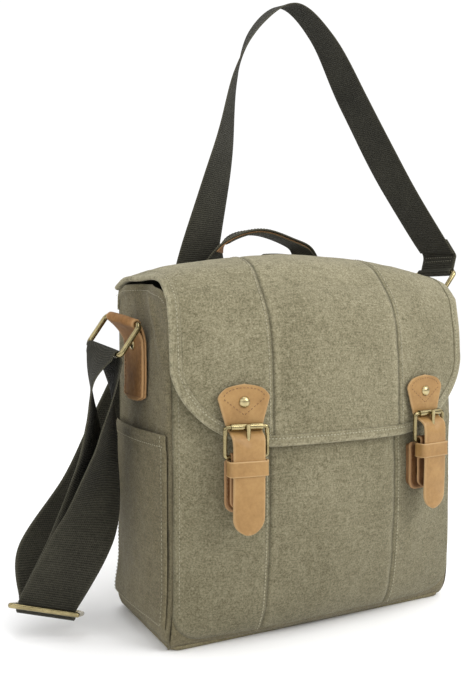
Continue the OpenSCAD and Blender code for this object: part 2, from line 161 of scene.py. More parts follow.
# ------------------------------------------------------------------ materials
def canvas_material(name, dark, mid, light, wear=0.5):
    """mottled woven cloth, paler where worn, with painted shade darkening its creases, seams and
    hollows
    """
    material, nodes = new_material(name)
    coordinates = nodes.node("ShaderNodeTexCoord")
    place, uv = coordinates.outputs["Object"], coordinates.outputs["UV"]
    broad = nodes.noise(place, scale=15, detail=3)
    mottle = nodes.noise(place, scale=190, detail=5, rough=0.7)
    fibre = nodes.noise(place, scale=640, detail=4, rough=0.78)
    split = nodes.separate(uv)
    weave = nodes.math("MULTIPLY", nodes.wave(split[0], period=0.95),
                       nodes.wave(split[1], period=0.95))
    # uneven threads, stretched along u
    mapping = nodes.node("ShaderNodeMapping")
    mapping.inputs["Scale"].default_value = (0.05, 1.1, 1)
    nodes.feed(uv, mapping.inputs[0])
    slub = nodes.noise(mapping.outputs[0], scale=1.0, detail=3, rough=0.5)
    tone = nodes.weigh(mottle, weight=0.20, onto=nodes.weigh(broad, weight=0.13))
    tone = nodes.add(tone, nodes.weigh(fibre, weight=0.62))
    tone = nodes.add(tone, nodes.weigh(slub, weight=0.16))
    tone = nodes.weigh(weave, weight=0.03, onto=tone)
    colour = nodes.ramp(tone, (0.44, dark), (0.545, mid), (0.66, light))
    worn = nodes.attribute("wear")
    patches = nodes.ramp(nodes.noise(place, scale=160, detail=4, rough=0.7), (0.35, 0), (0.7, 1))
    worn = nodes.math("MULTIPLY", nodes.weigh(worn, weight=wear), patches)
    colour = nodes.mix(worn, colour, tint(light, factor=1.35))
    # painted shade: the per-vertex shade darkens creases, seams and hollows
    painted_shade = nodes.attribute("painted_shade")
    colour = nodes.mix(nodes.weigh(painted_shade, weight=0.62), colour, tint(dark, factor=0.42))
    nodes.surface({
        "Base Color": colour, "Roughness": nodes.ramp(mottle, (0.3, 0.82), (0.7, 0.96)),
        "Specular IOR Level": 0.22, "Sheen Weight": 0.16, "Sheen Roughness": 0.5,
        "Sheen Tint": (0.8, 0.78, 0.68, 1)})
    height = nodes.weigh(weave, weight=0.5, onto=nodes.weigh(fibre, weight=0.7))
    fine = nodes.bump(height, strength=0.55, distance=0.00028)
    nodes.bump(mottle, strength=0.35, distance=0.0011, after=fine)
    return material


def webbing_material(name, dark, light):
    """ribbed tape"""
    material, nodes = new_material(name)
    coordinates = nodes.node("ShaderNodeTexCoord")
    place = coordinates.outputs["Object"]
    split = nodes.separate(coordinates.outputs["UV"])
    rib = nodes.wave(split[0], period=2.2)
    cell = nodes.math("MULTIPLY", rib, nodes.wave(split[1], period=1.7))
    fibre = nodes.noise(place, scale=500, detail=4, rough=0.7)
    broad = nodes.noise(place, scale=22, detail=3)
    tone = nodes.weigh(fibre, weight=0.5, onto=nodes.weigh(broad, weight=0.3))
    tone = nodes.weigh(cell, weight=0.07, onto=tone)
    tone = nodes.weigh(rib, weight=0.10, onto=tone)
    colour = nodes.ramp(tone, (0.24, dark), (0.60, light))
    worn = nodes.weigh(nodes.attribute("wear"), weight=0.35)
    colour = nodes.mix(worn, colour, tint(light, factor=2.6))
    nodes.surface({"Base Color": colour, "Roughness": 0.86, "Specular IOR Level": 0.16,
                   "Sheen Weight": 0.03})
    height = nodes.add(nodes.weigh(rib, weight=0.6), nodes.weigh(cell, weight=0.6))
    weave = nodes.bump(height, strength=0.75, distance=0.0006)
    nodes.bump(fibre, strength=0.3, distance=0.0003, after=weave)
    return material


def leather_material(name, dark, mid, light, edge, specular=0.36, roughness=(0.44, 0.6)):
    """grained leather with pale worn edges"""
    material, nodes = new_material(name)
    place = nodes.node("ShaderNodeTexCoord").outputs["Object"]
    clouds = nodes.noise(place, scale=60, detail=5, rough=0.6)
    mottle = nodes.noise(place, scale=330, detail=4, rough=0.6)
    tone = nodes.weigh(clouds, weight=0.62, onto=nodes.weigh(mottle, weight=0.38))
    colour = nodes.ramp(tone, (0.36, dark), (0.5, mid), (0.66, light))
    scuffs = nodes.noise(place, scale=40, detail=2, rough=0.5)
    colour = nodes.mix(nodes.weigh(nodes.attribute("wear"), weight=0.75), colour, edge)
    # painted shade darkens the leather in its dents and folds
    painted_shade = nodes.weigh(nodes.attribute("painted_shade"), weight=0.6)
    colour = nodes.mix(painted_shade, colour, tint(dark, factor=0.45))
    nodes.surface({
        "Base Color": colour, "Specular IOR Level": specular,
        "Roughness": nodes.ramp(scuffs, (0.3, roughness[0]), (0.7, roughness[1]))})
    grain = nodes.node("ShaderNodeTexVoronoi")
    grain.inputs["Scale"].default_value = 900
    nodes.feed(place, grain.inputs["Vector"])
    fine = nodes.bump(grain.outputs[0], strength=0.22, distance=0.0003)
    nodes.bump(mottle, strength=0.3, distance=0.0004, after=fine)
    return material


def brass_material(name, dark, light, roughness):
    """aged metal, brighter on its convex edges"""
    material, nodes = new_material(name)
    place = nodes.node("ShaderNodeTexCoord").outputs["Object"]
    clouds = nodes.noise(place, scale=70, detail=4, rough=0.55)
    specks = nodes.noise(place, scale=700, detail=3, rough=0.6)
    geometry = nodes.node("ShaderNodeNewGeometry")
    edges = nodes.ramp(geometry.outputs["Pointiness"], (0.44, 0), (0.56, 1))
    tone = nodes.weigh(clouds, weight=0.8, onto=nodes.weigh(specks, weight=0.2))
    colour = nodes.ramp(tone, (0.34, dark), (0.62, light))
    colour = nodes.mix(nodes.weigh(edges, weight=0.35), colour, tint(light, factor=1.35))
    nodes.surface({
        "Base Color": colour, "Metallic": 1.0,
        "Roughness": nodes.ramp(clouds, (0.3, roughness[0]), (0.72, roughness[1]))})
    nodes.bump(specks, strength=0.05, distance=0.0001)
    return material


def plain_material(name, colour, roughness=0.9):
    material, nodes = new_material(name)
    place = nodes.node("ShaderNodeTexCoord").outputs["Object"]
    mottle = nodes.noise(place, scale=300, detail=4)
    shade = nodes.ramp(mottle, (0.3, tint(colour, 0.8)), (0.7, tint(colour, 1.15)))
    nodes.surface({"Base Color": shade, "Roughness": roughness})
    nodes.bump(mottle, strength=0.2, distance=0.0002)
    return material


CANVAS = canvas_material("canvas", dark=(0.085, 0.074, 0.038), mid=(0.166, 0.148, 0.088),
                         light=(0.278, 0.252, 0.165))
# darker copy of the canvas: painted shade for the sides, the pockets, the base band and the bottom
CANVAS_SHADED = canvas_material("canvas_shaded", dark=(0.068, 0.055, 0.027),
                              mid=(0.132, 0.111, 0.060), light=(0.222, 0.192, 0.114))
BINDING = canvas_material("canvas_binding", dark=(0.105, 0.092, 0.050),
                          mid=(0.180, 0.161, 0.098), light=(0.285, 0.260, 0.172), wear=0.8)
WEBBING = webbing_material("webbing", dark=(0.0105, 0.0098, 0.0062), light=(0.052, 0.049, 0.034))
LEATHER = leather_material("leather", dark=(0.250, 0.137, 0.044), mid=(0.290, 0.164, 0.055),
                           light=(0.332, 0.196, 0.069), edge=(0.47, 0.31, 0.15))
LEATHER_DARK = leather_material(
    "leather_dark", dark=(0.105, 0.045, 0.016), mid=(0.155, 0.070, 0.026),
    light=(0.215, 0.105, 0.042), edge=(0.42, 0.26, 0.13), specular=0.12, roughness=(0.6, 0.78))
# darker copy of the leather: painted shade for the side tabs
LEATHER_TAB_SHADED = leather_material(
    "leather_tab_shaded", dark=(0.175, 0.084, 0.029), mid=(0.235, 0.118, 0.042),
    light=(0.305, 0.163, 0.062), edge=(0.44, 0.27, 0.13), specular=0.10, roughness=(0.6, 0.78))
BRASS = brass_material("brass_antique", dark=(0.085, 0.066, 0.031), light=(0.36, 0.30, 0.155),
                       roughness=(0.16, 0.32))
BRASS_RIVET = brass_material("brass_rivet", dark=(0.22, 0.175, 0.085), light=(0.50, 0.42, 0.23),
                             roughness=(0.24, 0.4))
LINING = canvas_material("lining_cloth", dark=(0.085, 0.078, 0.055), mid=(0.12, 0.11, 0.08),
                         light=(0.17, 0.155, 0.115), wear=0.2)
THREAD = plain_material("thread_canvas", (0.33, 0.305, 0.21))
THREAD_DARK = plain_material("thread_dark", (0.31, 0.285, 0.20))
THREAD_LEATHER = plain_material("thread_leather", (0.20, 0.105, 0.045))
THREAD_WEBBING = plain_material("thread_webbing", (0.17, 0.16, 0.12))
BOARD = plain_material("board", (0.03, 0.03, 0.03), roughness=0.6)


# ------------------------------------------------------------------ curves and arrays
def xyz(x, y, z):
    return np.stack(np.broadcast_arrays(x, y, z), -1).astype(float)


def lattice(rows, columns):
    return np.meshgrid(rows, columns, indexing="ij")


def unit(vectors):
    return vectors / np.maximum(np.linalg.norm(vectors, axis=-1, keepdims=True), 1e-9)


def arc(points, axis=0):
    """length along the points, starting at 0"""
    steps = np.linalg.norm(np.diff(points, axis=axis), axis=-1)
    return np.insert(np.cumsum(steps, axis=axis), 0, 0, axis=axis)


def bell(distance, width):
    return np.exp(-(distance / width) ** 2)


def smooth(start, end, x):
    t = np.clip((x - start) / (end - start), 0, 1)
    return t * t * (3 - 2 * t)


def rumple(x, y, size, seed):
    """smooth seeded noise, in about -1..1"""
    values = [noise.fractal(Vector((a / size, b / size, seed * 7.31)), 0.8, 2.1, 3)
              for a, b in zip(np.ravel(x), np.ravel(y))]
    return np.array(values).reshape(np.shape(x))


def spline(table, t):
    """Catmull-Rom curve through the rows of a table"""
    table = np.asarray(table, float)
    last = len(table) - 1
    t = np.clip(t, 0, last)
    i = np.minimum(np.floor(t).astype(int), last - 1)
    f = (t - i)[..., None]
    before, start = table[np.maximum(i - 1, 0)], table[i]
    end, after = table[i + 1], table[np.minimum(i + 2, last)]
    return 0.5 * (2 * start + (end - before) * f
                  + (2 * before - 5 * start + 4 * end - after) * f * f
                  + (3 * start - before - 3 * end + after) * f ** 3)


def relax(values, first, last, side=1 / 3):
    """average values[first:last] with their neighbours, in place; side is a neighbour's weight"""
    last %= len(values)
    neighbours = values[first - 1:last - 1] + values[first + 1:last + 1]
    values[first:last] = side * neighbours + (1 - 2 * side) * values[first:last]


def path_normals(path, widths):
    return unit(np.cross(np.gradient(path, axis=0), widths))


def turn(centre, first, second, radius, degrees):
    """arc round a centre in the plane of two axes"""
    angles = np.radians(degrees)[:, None]
    return centre + radius * (first * np.cos(angles) + second * np.sin(angles))


def rounded_outline(corners, steps):
    """four corner arcs, each (x, y, radius), anticlockwise from the +x +y corner"""
    return np.array([(x + radius * math.cos(a), y + radius * math.sin(a))
                     for number, (x, y, radius) in enumerate(corners)
                     for a in (math.radians(90 * (number + k / steps)) for k in range(steps + 1))])


def rounded_rectangle(x0, y0, x1, y1, radius, steps=10):
    return rounded_outline([(x1 - radius, y1 - radius, radius), (x0 + radius, y1 - radius, radius),
                            (x0 + radius, y0 + radius, radius),
                            (x1 - radius, y0 + radius, radius)], steps)


def outline_normals(outline):
    along = np.roll(outline, -1, 0) - np.roll(outline, 1, 0)
    return unit(np.stack([along[:, 1], -along[:, 0]], -1))


# ------------------------------------------------------------------ meshes
def put(name, vertices, faces, material, uvs=None, wear=None, painted_shade=None):
    """make an object from vertices in mm; wear and painted shade are read by the materials"""
    mesh = bpy.data.meshes.new(name)
    mesh.from_pydata([tuple(v) for v in np.asarray(vertices, float) * MM], [], faces)
    edit = bmesh.new()
    edit.from_mesh(mesh)
    bmesh.ops.recalc_face_normals(edit, faces=edit.faces)
    edit.to_mesh(mesh)
    edit.free()
    mesh.update()
    if uvs is not None:
        layer = mesh.uv_layers.new(name="UVMap")
        corners = np.empty(len(mesh.loops), dtype=np.int32)
        mesh.loops.foreach_get("vertex_index", corners)
        layer.data.foreach_set("uv", np.asarray(uvs, np.float32)[corners].ravel())
    if wear is not None:
        if painted_shade is None:
            painted_shade = np.zeros(len(vertices))
        # wear, and painted shade for creases, seams and recesses
        for key, values in (("wear", wear), ("painted_shade", painted_shade)):
            attribute = mesh.attributes.new(key, "FLOAT", "POINT")
            attribute.data.foreach_set("value", np.asarray(values, np.float32))
    mesh.polygons.foreach_set("use_smooth", [True] * len(mesh.polygons))
    mesh.materials.append(material)
    piece = bpy.data.objects.new(name, mesh)
    bpy.context.scene.collection.objects.link(piece)
    return piece


def ring_faces(a, b, count, across=False):
    """quads between two closed rows of vertices that start at a and b"""
    pairs = [(k, (k + 1) % count) for k in range(count)]
    if across:
        return [(a + k, a + n, b + n, b + k) for k, n in pairs]
    return [(a + k, b + k, b + n, a + n) for k, n in pairs]


def fan_faces(tip, start, count):
    return [(tip, start + k, start + (k + 1) % count) for k in range(count)]


def reverse(faces):
    return [tuple(reversed(face)) for face in faces]


def sheet(name, grid, outer, inner, material, flip=False, swell=0.0, roll=(0.0, 1.0),
          wear_width=5.0, wear=1.0, painted_shade=0.0, ends=True, worn=0.0):
    """closed sheet of cloth or leather with rounded rims.

    outer and inner are its faces' offsets along the normal. roll = (depth, width) drops the
    outer face towards the rims. ends says whether the first and last rows count as rims."""
    rows, columns = grid.shape[:2]
    count = rows * columns
    normals = unit(np.cross(np.gradient(grid, axis=0), np.gradient(grid, axis=1)))
    normals = normals * (-1 if flip else 1)
    down, over = arc(grid, 0), arc(grid, 1)
    to_rim = np.minimum(over, over[:, -1:] - over)
    if ends:
        to_rim = np.minimum.reduce([to_rim, down, down[-1:] - down])
    swell = np.zeros((rows, columns)) + swell
    rolled = swell - roll[0] * np.exp(-(to_rim / roll[1]) ** 1.5)
    outer_face = grid + normals * (outer + rolled)[..., None]
    inner_face = grid + normals * (inner + swell)[..., None]
    # a rim row half way through the thickness, pushed outwards
    outward = np.zeros_like(grid)
    outward[0] += grid[0] - grid[1]
    outward[-1] += grid[-1] - grid[-2]
    outward[:, 0] += grid[:, 0] - grid[:, 1]
    outward[:, -1] += grid[:, -1] - grid[:, -2]
    middle = (outer_face + inner_face) / 2 + unit(outward) * abs(outer - inner) * 0.35
    ids = np.arange(count).reshape(rows, columns)
    rim = np.r_[ids[:, 0], ids[-1, 1:], ids[-2::-1, -1], ids[0, -2:0:-1]].tolist()

    faces = []
    for i in range(rows - 1):
        for j in range(columns - 1):
            a = i * columns + j
            front = (a, a + columns, a + columns + 1, a + 1)
            back = (a, a + 1, a + columns + 1, a + columns)
            if flip:
                front, back = back, front
            faces += [front, tuple(count + v for v in back)]
    for k, a in enumerate(rim):
        following = (k + 1) % len(rim)
        b = rim[following]
        rim_a, rim_b = 2 * count + k, 2 * count + following
        if not flip:
            a, b, rim_a, rim_b = b, a, rim_b, rim_a
        faces += [(a, b, rim_b, rim_a), (rim_a, rim_b, count + b, count + a)]

    uv = np.stack([down, over], -1).reshape(-1, 2)
    worn = np.maximum(wear * bell(to_rim, wear_width), worn).ravel()
    # painted shade per vertex, for the materials
    painted_shade = (np.zeros((rows, columns)) + painted_shade).ravel()
    vertices = np.concatenate([outer_face.reshape(-1, 3), inner_face.reshape(-1, 3),
                               middle.reshape(-1, 3)[rim]])
    return put(name, vertices, faces, material, np.concatenate([uv, uv, uv[rim]]),
               wear=np.concatenate([worn, worn * 0.5, np.maximum(worn[rim], wear)]),
               painted_shade=np.concatenate([painted_shade, painted_shade, painted_shade[rim]]))


def cut_piece(name, outline, inner, outer, material, rings=8, soft=1.2, wear=0.6,
              wear_width=2.0, place=None):
    """flat piece cut to an outline, with softened rims; its local z is the thickness"""
    count = len(outline)
    centre = outline.mean(0)
    spokes = outline - centre
    size = np.linalg.norm(spokes, axis=1).mean()
    sign = 1 if outer > inner else -1
    edge = min(soft, abs(outer - inner) * 0.5)
    # scale of the outline, inset, z, wear
    layers = [(scale, 0, outer, wear * bell((1 - scale) * size, wear_width))
              for scale in np.linspace(0, 1, rings + 1)[1:-1]]
    layers += [(1, edge, outer, wear), (1, edge * 0.3, outer - sign * edge * 0.3, wear),
               (1, 0, outer - sign * edge, wear), (1, 0, inner + sign * edge * 0.5, wear),
               (1, edge * 0.5, inner, wear)]
    vertices, worn = [(*centre, outer)], [0]
    for scale, inset, z, value in layers:
        vertices += [(x, y, z) for x, y in centre + spokes * scale - unit(spokes) * inset]
        worn += [value] * count
    vertices.append((*centre, inner))
    worn.append(0)
    starts = [1 + count * k for k in range(len(layers))]
    faces = fan_faces(0, 1, count)
    for a, b in zip(starts[:-1], starts[1:]):
        faces += ring_faces(a, b, count)
    end, tip = starts[-1], len(vertices) - 1
    faces += [(tip, end + (k + 1) % count, end + k) for k in range(count)]
    if sign < 0:
        faces = reverse(faces)
    vertices = np.array(vertices, float)
    uvs = vertices[:, :2].copy()
    if place is not None:
        vertices = place(vertices)
    return put(name, vertices, faces, material, uvs, wear=worn)


def rivet(name, profile, height, place, turned=False):
    """domed head: profile rows are (radius, height), place maps local (x, y, outward)"""
    count = 32
    angles = [2 * math.pi * k / count for k in range(count)]
    vertices = [(0, 0, height)]
    vertices += [(r * math.cos(a), r * math.sin(a), h) for r, h in profile for a in angles]
    starts = [1 + count * k for k in range(len(profile))]
    faces = fan_faces(0, 1, count)
    for a, b in zip(starts[:-1], starts[1:]):
        faces += ring_faces(a, b, count)
    faces.append(tuple(starts[-1] + k for k in range(count)))
    if turned:
        faces = reverse(faces)
    return put(name, place(np.array(vertices)), faces, BRASS_RIVET)


# ------------------------------------------------------------------ stitches
# A stitch is a spindle: two tips and four rings of six. Columns: along, across, outwards.
SPINDLE = np.array(
    [(-1.0, 0.0, 0.0)]
    + [(z, (1 - z * z) ** 0.3 * math.cos(a), 0.8 * (1 - z * z) ** 0.3 * math.sin(a))
       for z in (-0.82, -0.35, 0.35, 0.82) for a in np.linspace(0, 2 * math.pi, 7)[:-1]]
    + [(1.0, 0.0, 0.0)])
SPINDLE_FACES = (
    [(0, 1 + (i + 1) % 6, 1 + i) for i in range(6)]
    + [face for start in (1, 7, 13) for face in ring_faces(start, start + 6, 6, across=True)]
    + [(19 + i, 19 + (i + 1) % 6, 25) for i in range(6)])
stitches = {}     # group: (vertices, faces)


def stitch(group, start, end, normal, radius):
    vertices, faces = stitches.setdefault(group, ([], []))
    half = (end - start) / 2
    length = np.linalg.norm(half)
    if length < 1e-6:
        return
    along = half / length
    across = unit(np.cross(normal, along))
    normal = np.cross(along, across)
    base = len(vertices)
    frame_axes = np.array([half, radius * across, radius * normal])
    vertices.extend((start + end) / 2 + SPINDLE @ frame_axes)
    faces += [tuple(base + v for v in face) for face in SPINDLE_FACES]


def seam(group, points, normals, pitch=3.4, fill=0.62, radius=0.42, lift=0.1):
    """stitches along a line; fill is the share of the pitch that each one covers"""
    normals = np.broadcast_to(np.asarray(normals, float), points.shape)
    length = arc(points)

    def at(values, distance):
        return np.array([np.interp(distance, length, column) for column in values.T])

    count = max(1, int(length[-1] / pitch))
    for k in range(count):
        a = length[-1] * (k + 0.5 - fill / 2) / count
        b = length[-1] * (k + 0.5 + fill / 2) / count
        normal = unit(at(normals, (a + b) / 2))
        offset = normal * lift
        stitch(group, at(points, a) + offset, at(points, b) + offset, normal, radius)


# ------------------------------------------------------------------ shape of the body
HALF_WIDTH, BODY_HEIGHT = 150.0, 300
PANEL_HALF = 147        # half width of the front and back cloth
PANEL_FOOT = 3.5        # height at which the wall cloth starts
FRONT_TOP = 292
SEAM = 66.0             # distance of the two upright seams from the middle
GUSSET_BACK = 60.8      # y of the gussets' back edge
POCKET_BACK = 57        # y of the pockets' back edge
GUSSET_TOP = [(-68, 292.0), (-62, 296.5), (-51, 302.5), (-22, 307.5),
              (10, 308.5), (40, 308.0), (62, 304.0)]     # y, z
BOTTOM = (-146, -58.5, 146, 61.5)                        # x0, y0, x1, y1
BOTTOM_THICK = 2.6

root_pieces = []        # pieces that move with the bag's body


def fix(piece, *replaced):
    """keep the piece on the body and name the CAD pieces it stands in for"""
    root_pieces.append(piece)
    if replaced:
        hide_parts(*replaced)


def bulge(z):
    share = np.clip(np.asarray(z, float) / BODY_HEIGHT, 0.005, 0.995)
    return np.sin(np.pi * share ** 0.75) ** 0.6


def front_y(x, z):
    depth = 63 + (4 + 24 * (1 - (x / HALF_WIDTH) ** 2)) * bulge(z)
    return -depth + 6 * np.clip(1 - z / 35, 0, 1) ** 2


def back_y(x, z):
    return 63 + 2 * (1 - (x / HALF_WIDTH) ** 2) * np.sin(np.pi * z / BODY_HEIGHT)


def side_x(y, z):
    bow = np.sin(np.pi * np.clip(z / BODY_HEIGHT, 0, 1))
    return HALF_WIDTH - 1.5 + 4 * (1 - (y / 62) ** 2) * bow


def low_sag(y, z):
    """how far the side walls sag outwards near the base"""
    back_share = np.clip((y + 66) / 127, 0, 1)
    ends = np.clip((61 - y) / 12, 0, 1) * np.clip((y + 66) / 12, 0, 1)
    return (1.5 + 5.0 * back_share) * ends ** 0.6 * bell(z - 24, 20)


# ------------------------------------------------------------------ front
def front_swell(x, z):
    return 0.9 * rumple(x, z, 62, seed=1) + 0.45 * rumple(x * 1.4, z * 0.7, 24, seed=4)


def front_panel(name, left, right, columns):
    heights = np.r_[np.linspace(PANEL_FOOT, 60, 26)[:-1], np.linspace(60, FRONT_TOP, 66)]
    x, level = lattice(np.linspace(left, right, columns), heights)
    # the bottom outer corners are rounded
    corner = np.clip((np.abs(x) - 117) / 30.5, 0, 1)
    foot = 8.0 + 27 * (1 - np.sqrt(np.clip(1 - corner ** 2, 0, 1))) + 0.8 * np.sin(x / 31.0 + 1)
    z = foot + (level - PANEL_FOOT) * (FRONT_TOP - foot) / (FRONT_TOP - PANEL_FOOT)
    from_seam = np.abs(np.abs(x) - SEAM)
    from_edge = np.minimum(np.abs(np.abs(x) - PANEL_HALF), 50)
    swell = front_swell(x, z)
    pucker = 0.28 * np.cos(z / 4.6 + 2 * rumple(x, z, 40, seed=9))
    swell += pucker * bell(from_seam, 5)
    swell *= 0.25 + 0.75 * smooth(0, 14, np.minimum(z - 3, FRONT_TOP - z))
    # painted shade along the seams, the panel edges and the foot; the panel is also painted darker
    # towards the bottom
    painted_shade = np.maximum.reduce([
        bell(from_seam, 1.1), 0.8 * bell(from_edge, 1.6), 0.13 + 0.33 * smooth(170, 20, z),
        0.85 * bell(z - foot, 1.6)])
    worn = 0.75 * bell(from_seam - 4.2, 2.6) + 0.35 * bell(from_edge - 5, 3)
    fix(sheet(name + "_cloth", xyz(x, front_y(x, z), z), 0, -1.8, CANVAS, swell=swell,
              roll=(1.5, 2.4), wear_width=2.0, wear=0.2, painted_shade=painted_shade, worn=worn), name)


def front_seam(group, x, z, **settings):
    x = np.full_like(z, x)
    lifted = front_y(x, z) - 0.5 - front_swell(x, z)
    seam(group, xyz(x, lifted, z), (0, -1, 0), **settings)


def base_band():
    """band of the base that shows under the front panel's lower edge"""
    x, up = lattice(np.linspace(-146.6, 146.6, 90), np.linspace(0, 1, 24))
    z = 0.9 + 44 * up
    y = front_y(x, np.maximum(z, 2.0)) + 2.9 + 3.2 * bell(z, 3.2)
    # the whole band gets painted shade under the front panel's edge, on the darker shaded canvas
    fix(sheet("base_band_front", xyz(x, y, z), 0.9, -0.6, CANVAS_SHADED,
              swell=0.25 * rumple(x, z, 20, seed=90), painted_shade=0.3, wear=0.5))


SEAM_GAP = 0.15
front_panel("front_panel_left", -PANEL_HALF, -SEAM - SEAM_GAP, columns=44)
front_panel("front_panel_center", -SEAM + SEAM_GAP, SEAM - SEAM_GAP, columns=64)
front_panel("front_panel_right", SEAM + SEAM_GAP, PANEL_HALF, columns=44)
for side, _ in SIDES:
    front_seam("root", side * (SEAM + 3.6), np.linspace(9, 288, 150), radius=0.5, pitch=3.2)
    front_seam("root_d", side * 142.5, np.linspace(34, 286, 130), radius=0.3, pitch=3.4)
base_band()


# ------------------------------------------------------------------ sides
def gusset(side, side_name, seed):
    along, up = lattice(np.linspace(0, 1, 60), np.linspace(0, 1, 120))

    def depth(z):
        front = front_y(147.0, z) + 2.2
        return front + (GUSSET_BACK - front) * along

    top = np.interp(depth(PANEL_FOOT + 290 * up), *zip(*GUSSET_TOP))
    z = PANEL_FOOT + (top - PANEL_FOOT) * up
    y = depth(z)
    # the lower end draws in towards the base
    draw = 6.0 * (1 - np.sqrt(1 - np.clip(1 - z / 16, 0, 0.98) ** 2))
    x = side_x(y, z) + 0.3 - draw + low_sag(y, z)
    # the top falls inwards in the middle, between two soft folds
    upper = smooth(0, 1, 1 - (top - z) / 48)
    middle = bell(along - 0.50, 0.15)
    x -= upper * (1.5 + 4.0 * smooth(299, 304, z)) * middle
    x += upper * 1.6 * (bell(along - 0.2, 0.12) + bell(along - 0.8, 0.12))
    swell = 1.7 * rumple(y, z, 46, seed) + 0.7 * rumple(y, z, 20, seed + 2)
    # diagonal pull crease below the ring tab
    crease = bell((y + 34) * 0.85 - (z - 272) * 0.5, 4.0) * bell(z - 276, 24)
    from_edge = np.minimum(along, 1 - along) * 120
    swell += 1.8 * crease
    swell *= 0.3 + 0.7 * smooth(0, 10, from_edge)
    swell += (1.7 + 0.5 * np.sin(y / 11.0)) * smooth(-8.2, -7.6, z - top)     # top hem
    # painted shade along the edges, the hem and the foot, in soft folds from noise, and in the
    # sunken middle of the top
    shade = rumple(y, z * 0.6, 30, seed + 5)
    painted_shade = np.maximum.reduce([
        0.9 * bell(from_edge, 2.0), 0.9 * bell(z - top + 8.4, 1.0),
        0.16 + 0.30 * np.clip(-shade, 0, 1) + 0.28 * upper * middle, 0.7 * bell(z - 9, 1.1)])
    grid = xyz(side * x, y, z)
    name = "side_gusset_" + side_name
    fix(sheet(name + "_cloth", grid, 0, -1.8, CANVAS_SHADED, flip=side < 0, swell=swell,
              roll=(1.2, 2.2), wear_width=2, wear=0.8, painted_shade=painted_shade, worn=0.6 * crease), name)
    hem_row = 117
    seam("root_d", grid[:, hem_row] + xyz(side * (1.4 + swell[:, hem_row]), 0, 0),
         (side, 0, 0), radius=0.35)


def pocket(side, side_name, seed):
    along, z = lattice(np.linspace(0, 1, 50), np.linspace(20, 183, 72))
    front = front_y(147.0, z) + 6.0
    y = front + (POCKET_BACK - front) * along
    fullness = np.sin(np.pi * along) ** 0.7 * np.clip((z - 8) / 50, 0, 1)
    x = side_x(y, z) + 1.2 + 2.0 + 3.2 * fullness + low_sag(y, z)
    grid = xyz(side * x, y, z)
    swell = 0.8 * rumple(y, z, 44, seed) + 0.35 * rumple(y, z, 15, seed + 1)
    swell += 0.9 * bell(z - 179, 5)
    swell *= 0.35 + 0.65 * smooth(0, 9, np.minimum(along, 1 - along) * 112)
    swell += 0.8 * smooth(170.5, 171.6, z)      # doubled cloth at the top
    # painted shade under the hem, and the whole pocket painted darker
    painted_shade = np.maximum(0.6 * bell(z - 170.8, 0.9), 0.36)
    name = "side_pocket_" + side_name
    fix(sheet(name + "_cloth", grid, 0, -1.5, CANVAS_SHADED, flip=side < 0, swell=swell,
              roll=(1.0, 1.8), wear_width=2.2, wear=0.85, painted_shade=painted_shade), name)
    # hem, front edge, back edge and foot: grid line, lift, thread radius
    for line, lift, radius in ((np.s_[:, 67], 0.95, 0.36), (np.s_[2, 1:], 0.3, 0.34),
                               (np.s_[47, 1:], 0.3, 0.34), (np.s_[2:48, 1], 0.3, 0.34)):
        seam("root", grid[line] + xyz(side * (lift + swell[line]), 0, 0), (side, 0, 0),
             radius=radius)


for (side, side_name), seed in zip(SIDES, (11, 14)):
    gusset(side, side_name, seed)
for (side, side_name), seed in zip(SIDES, (21, 24)):
    pocket(side, side_name, seed)


# ------------------------------------------------------------------ back and bottom
def back_panel():
    x, z = lattice(np.linspace(-PANEL_HALF, PANEL_HALF, 190), np.linspace(PANEL_FOOT, 299.3, 70))
    from_edge = PANEL_HALF - np.abs(x)
    from_seam = np.abs(np.abs(x) - SEAM)
    swell = 1.1 * rumple(x, z, 60, seed=31) + 0.5 * rumple(x, z, 24, seed=33)
    swell *= 0.25 + 0.75 * smooth(0, 12, np.minimum(from_edge, np.minimum(z - 3, 299 - z)))
    swell -= 0.8 * bell(from_seam, 1.3)
    # painted shade along the edges and the seams
    painted_shade = np.maximum(0.7 * bell(from_edge, 1.6), 0.9 * bell(from_seam, 1.2))
    fix(sheet("back_panel_cloth", xyz(x, back_y(x, z), z), 1.8, 0, CANVAS, flip=True,
              swell=swell, roll=(1.2, 2.4), painted_shade=painted_shade, wear=0.4), "back_panel")
    z = np.linspace(8, 294, 100)
    for side, _ in SIDES:
        seam("root_d", xyz(side * 142.0, 65.2, z), (0, 1, 0), radius=0.34)
        x = SEAM + 4.0
        seam("root", xyz(side * x, back_y(x, z) + 2.3, z), (0, 1, 0), radius=0.48)
    seam("root", xyz(np.linspace(-140, 140, 100), 65.3, 296.0), (0, 1, 0), radius=0.36)


def bottom_seam_roll():
    """narrow turned edge that joins the bottom to the walls"""
    radius, sides = 1.2, 8
    outline = rounded_rectangle(*BOTTOM, radius=12, steps=14)
    normals = outline_normals(outline)
    angles = 2 * math.pi * np.arange(sides) / sides
    flat = outline[:, None] + normals[:, None] * (radius * np.cos(angles))[:, None]
    vertices = xyz(flat[..., 0], flat[..., 1],
                   BOTTOM_THICK + radius * np.sin(angles)).reshape(-1, 3)
    faces = []
    for i in range(len(outline)):
        following = (i + 1) % len(outline)
        faces += reverse(ring_faces(i * sides, following * sides, sides, across=True))
    # on the darker canvas copy with painted shade
    fix(put("bottom_seam_roll", vertices, faces, CANVAS_SHADED, np.zeros((len(vertices), 2)),
            wear=np.full(len(vertices), 0.6)))


back_panel()
# the bottom uses the darker canvas copy with painted shade
fix(cut_piece("bottom_panel_cloth", rounded_rectangle(*BOTTOM, radius=10), BOTTOM_THICK, 0.0,
              CANVAS_SHADED, rings=10), "bottom_panel")
bottom_seam_roll()


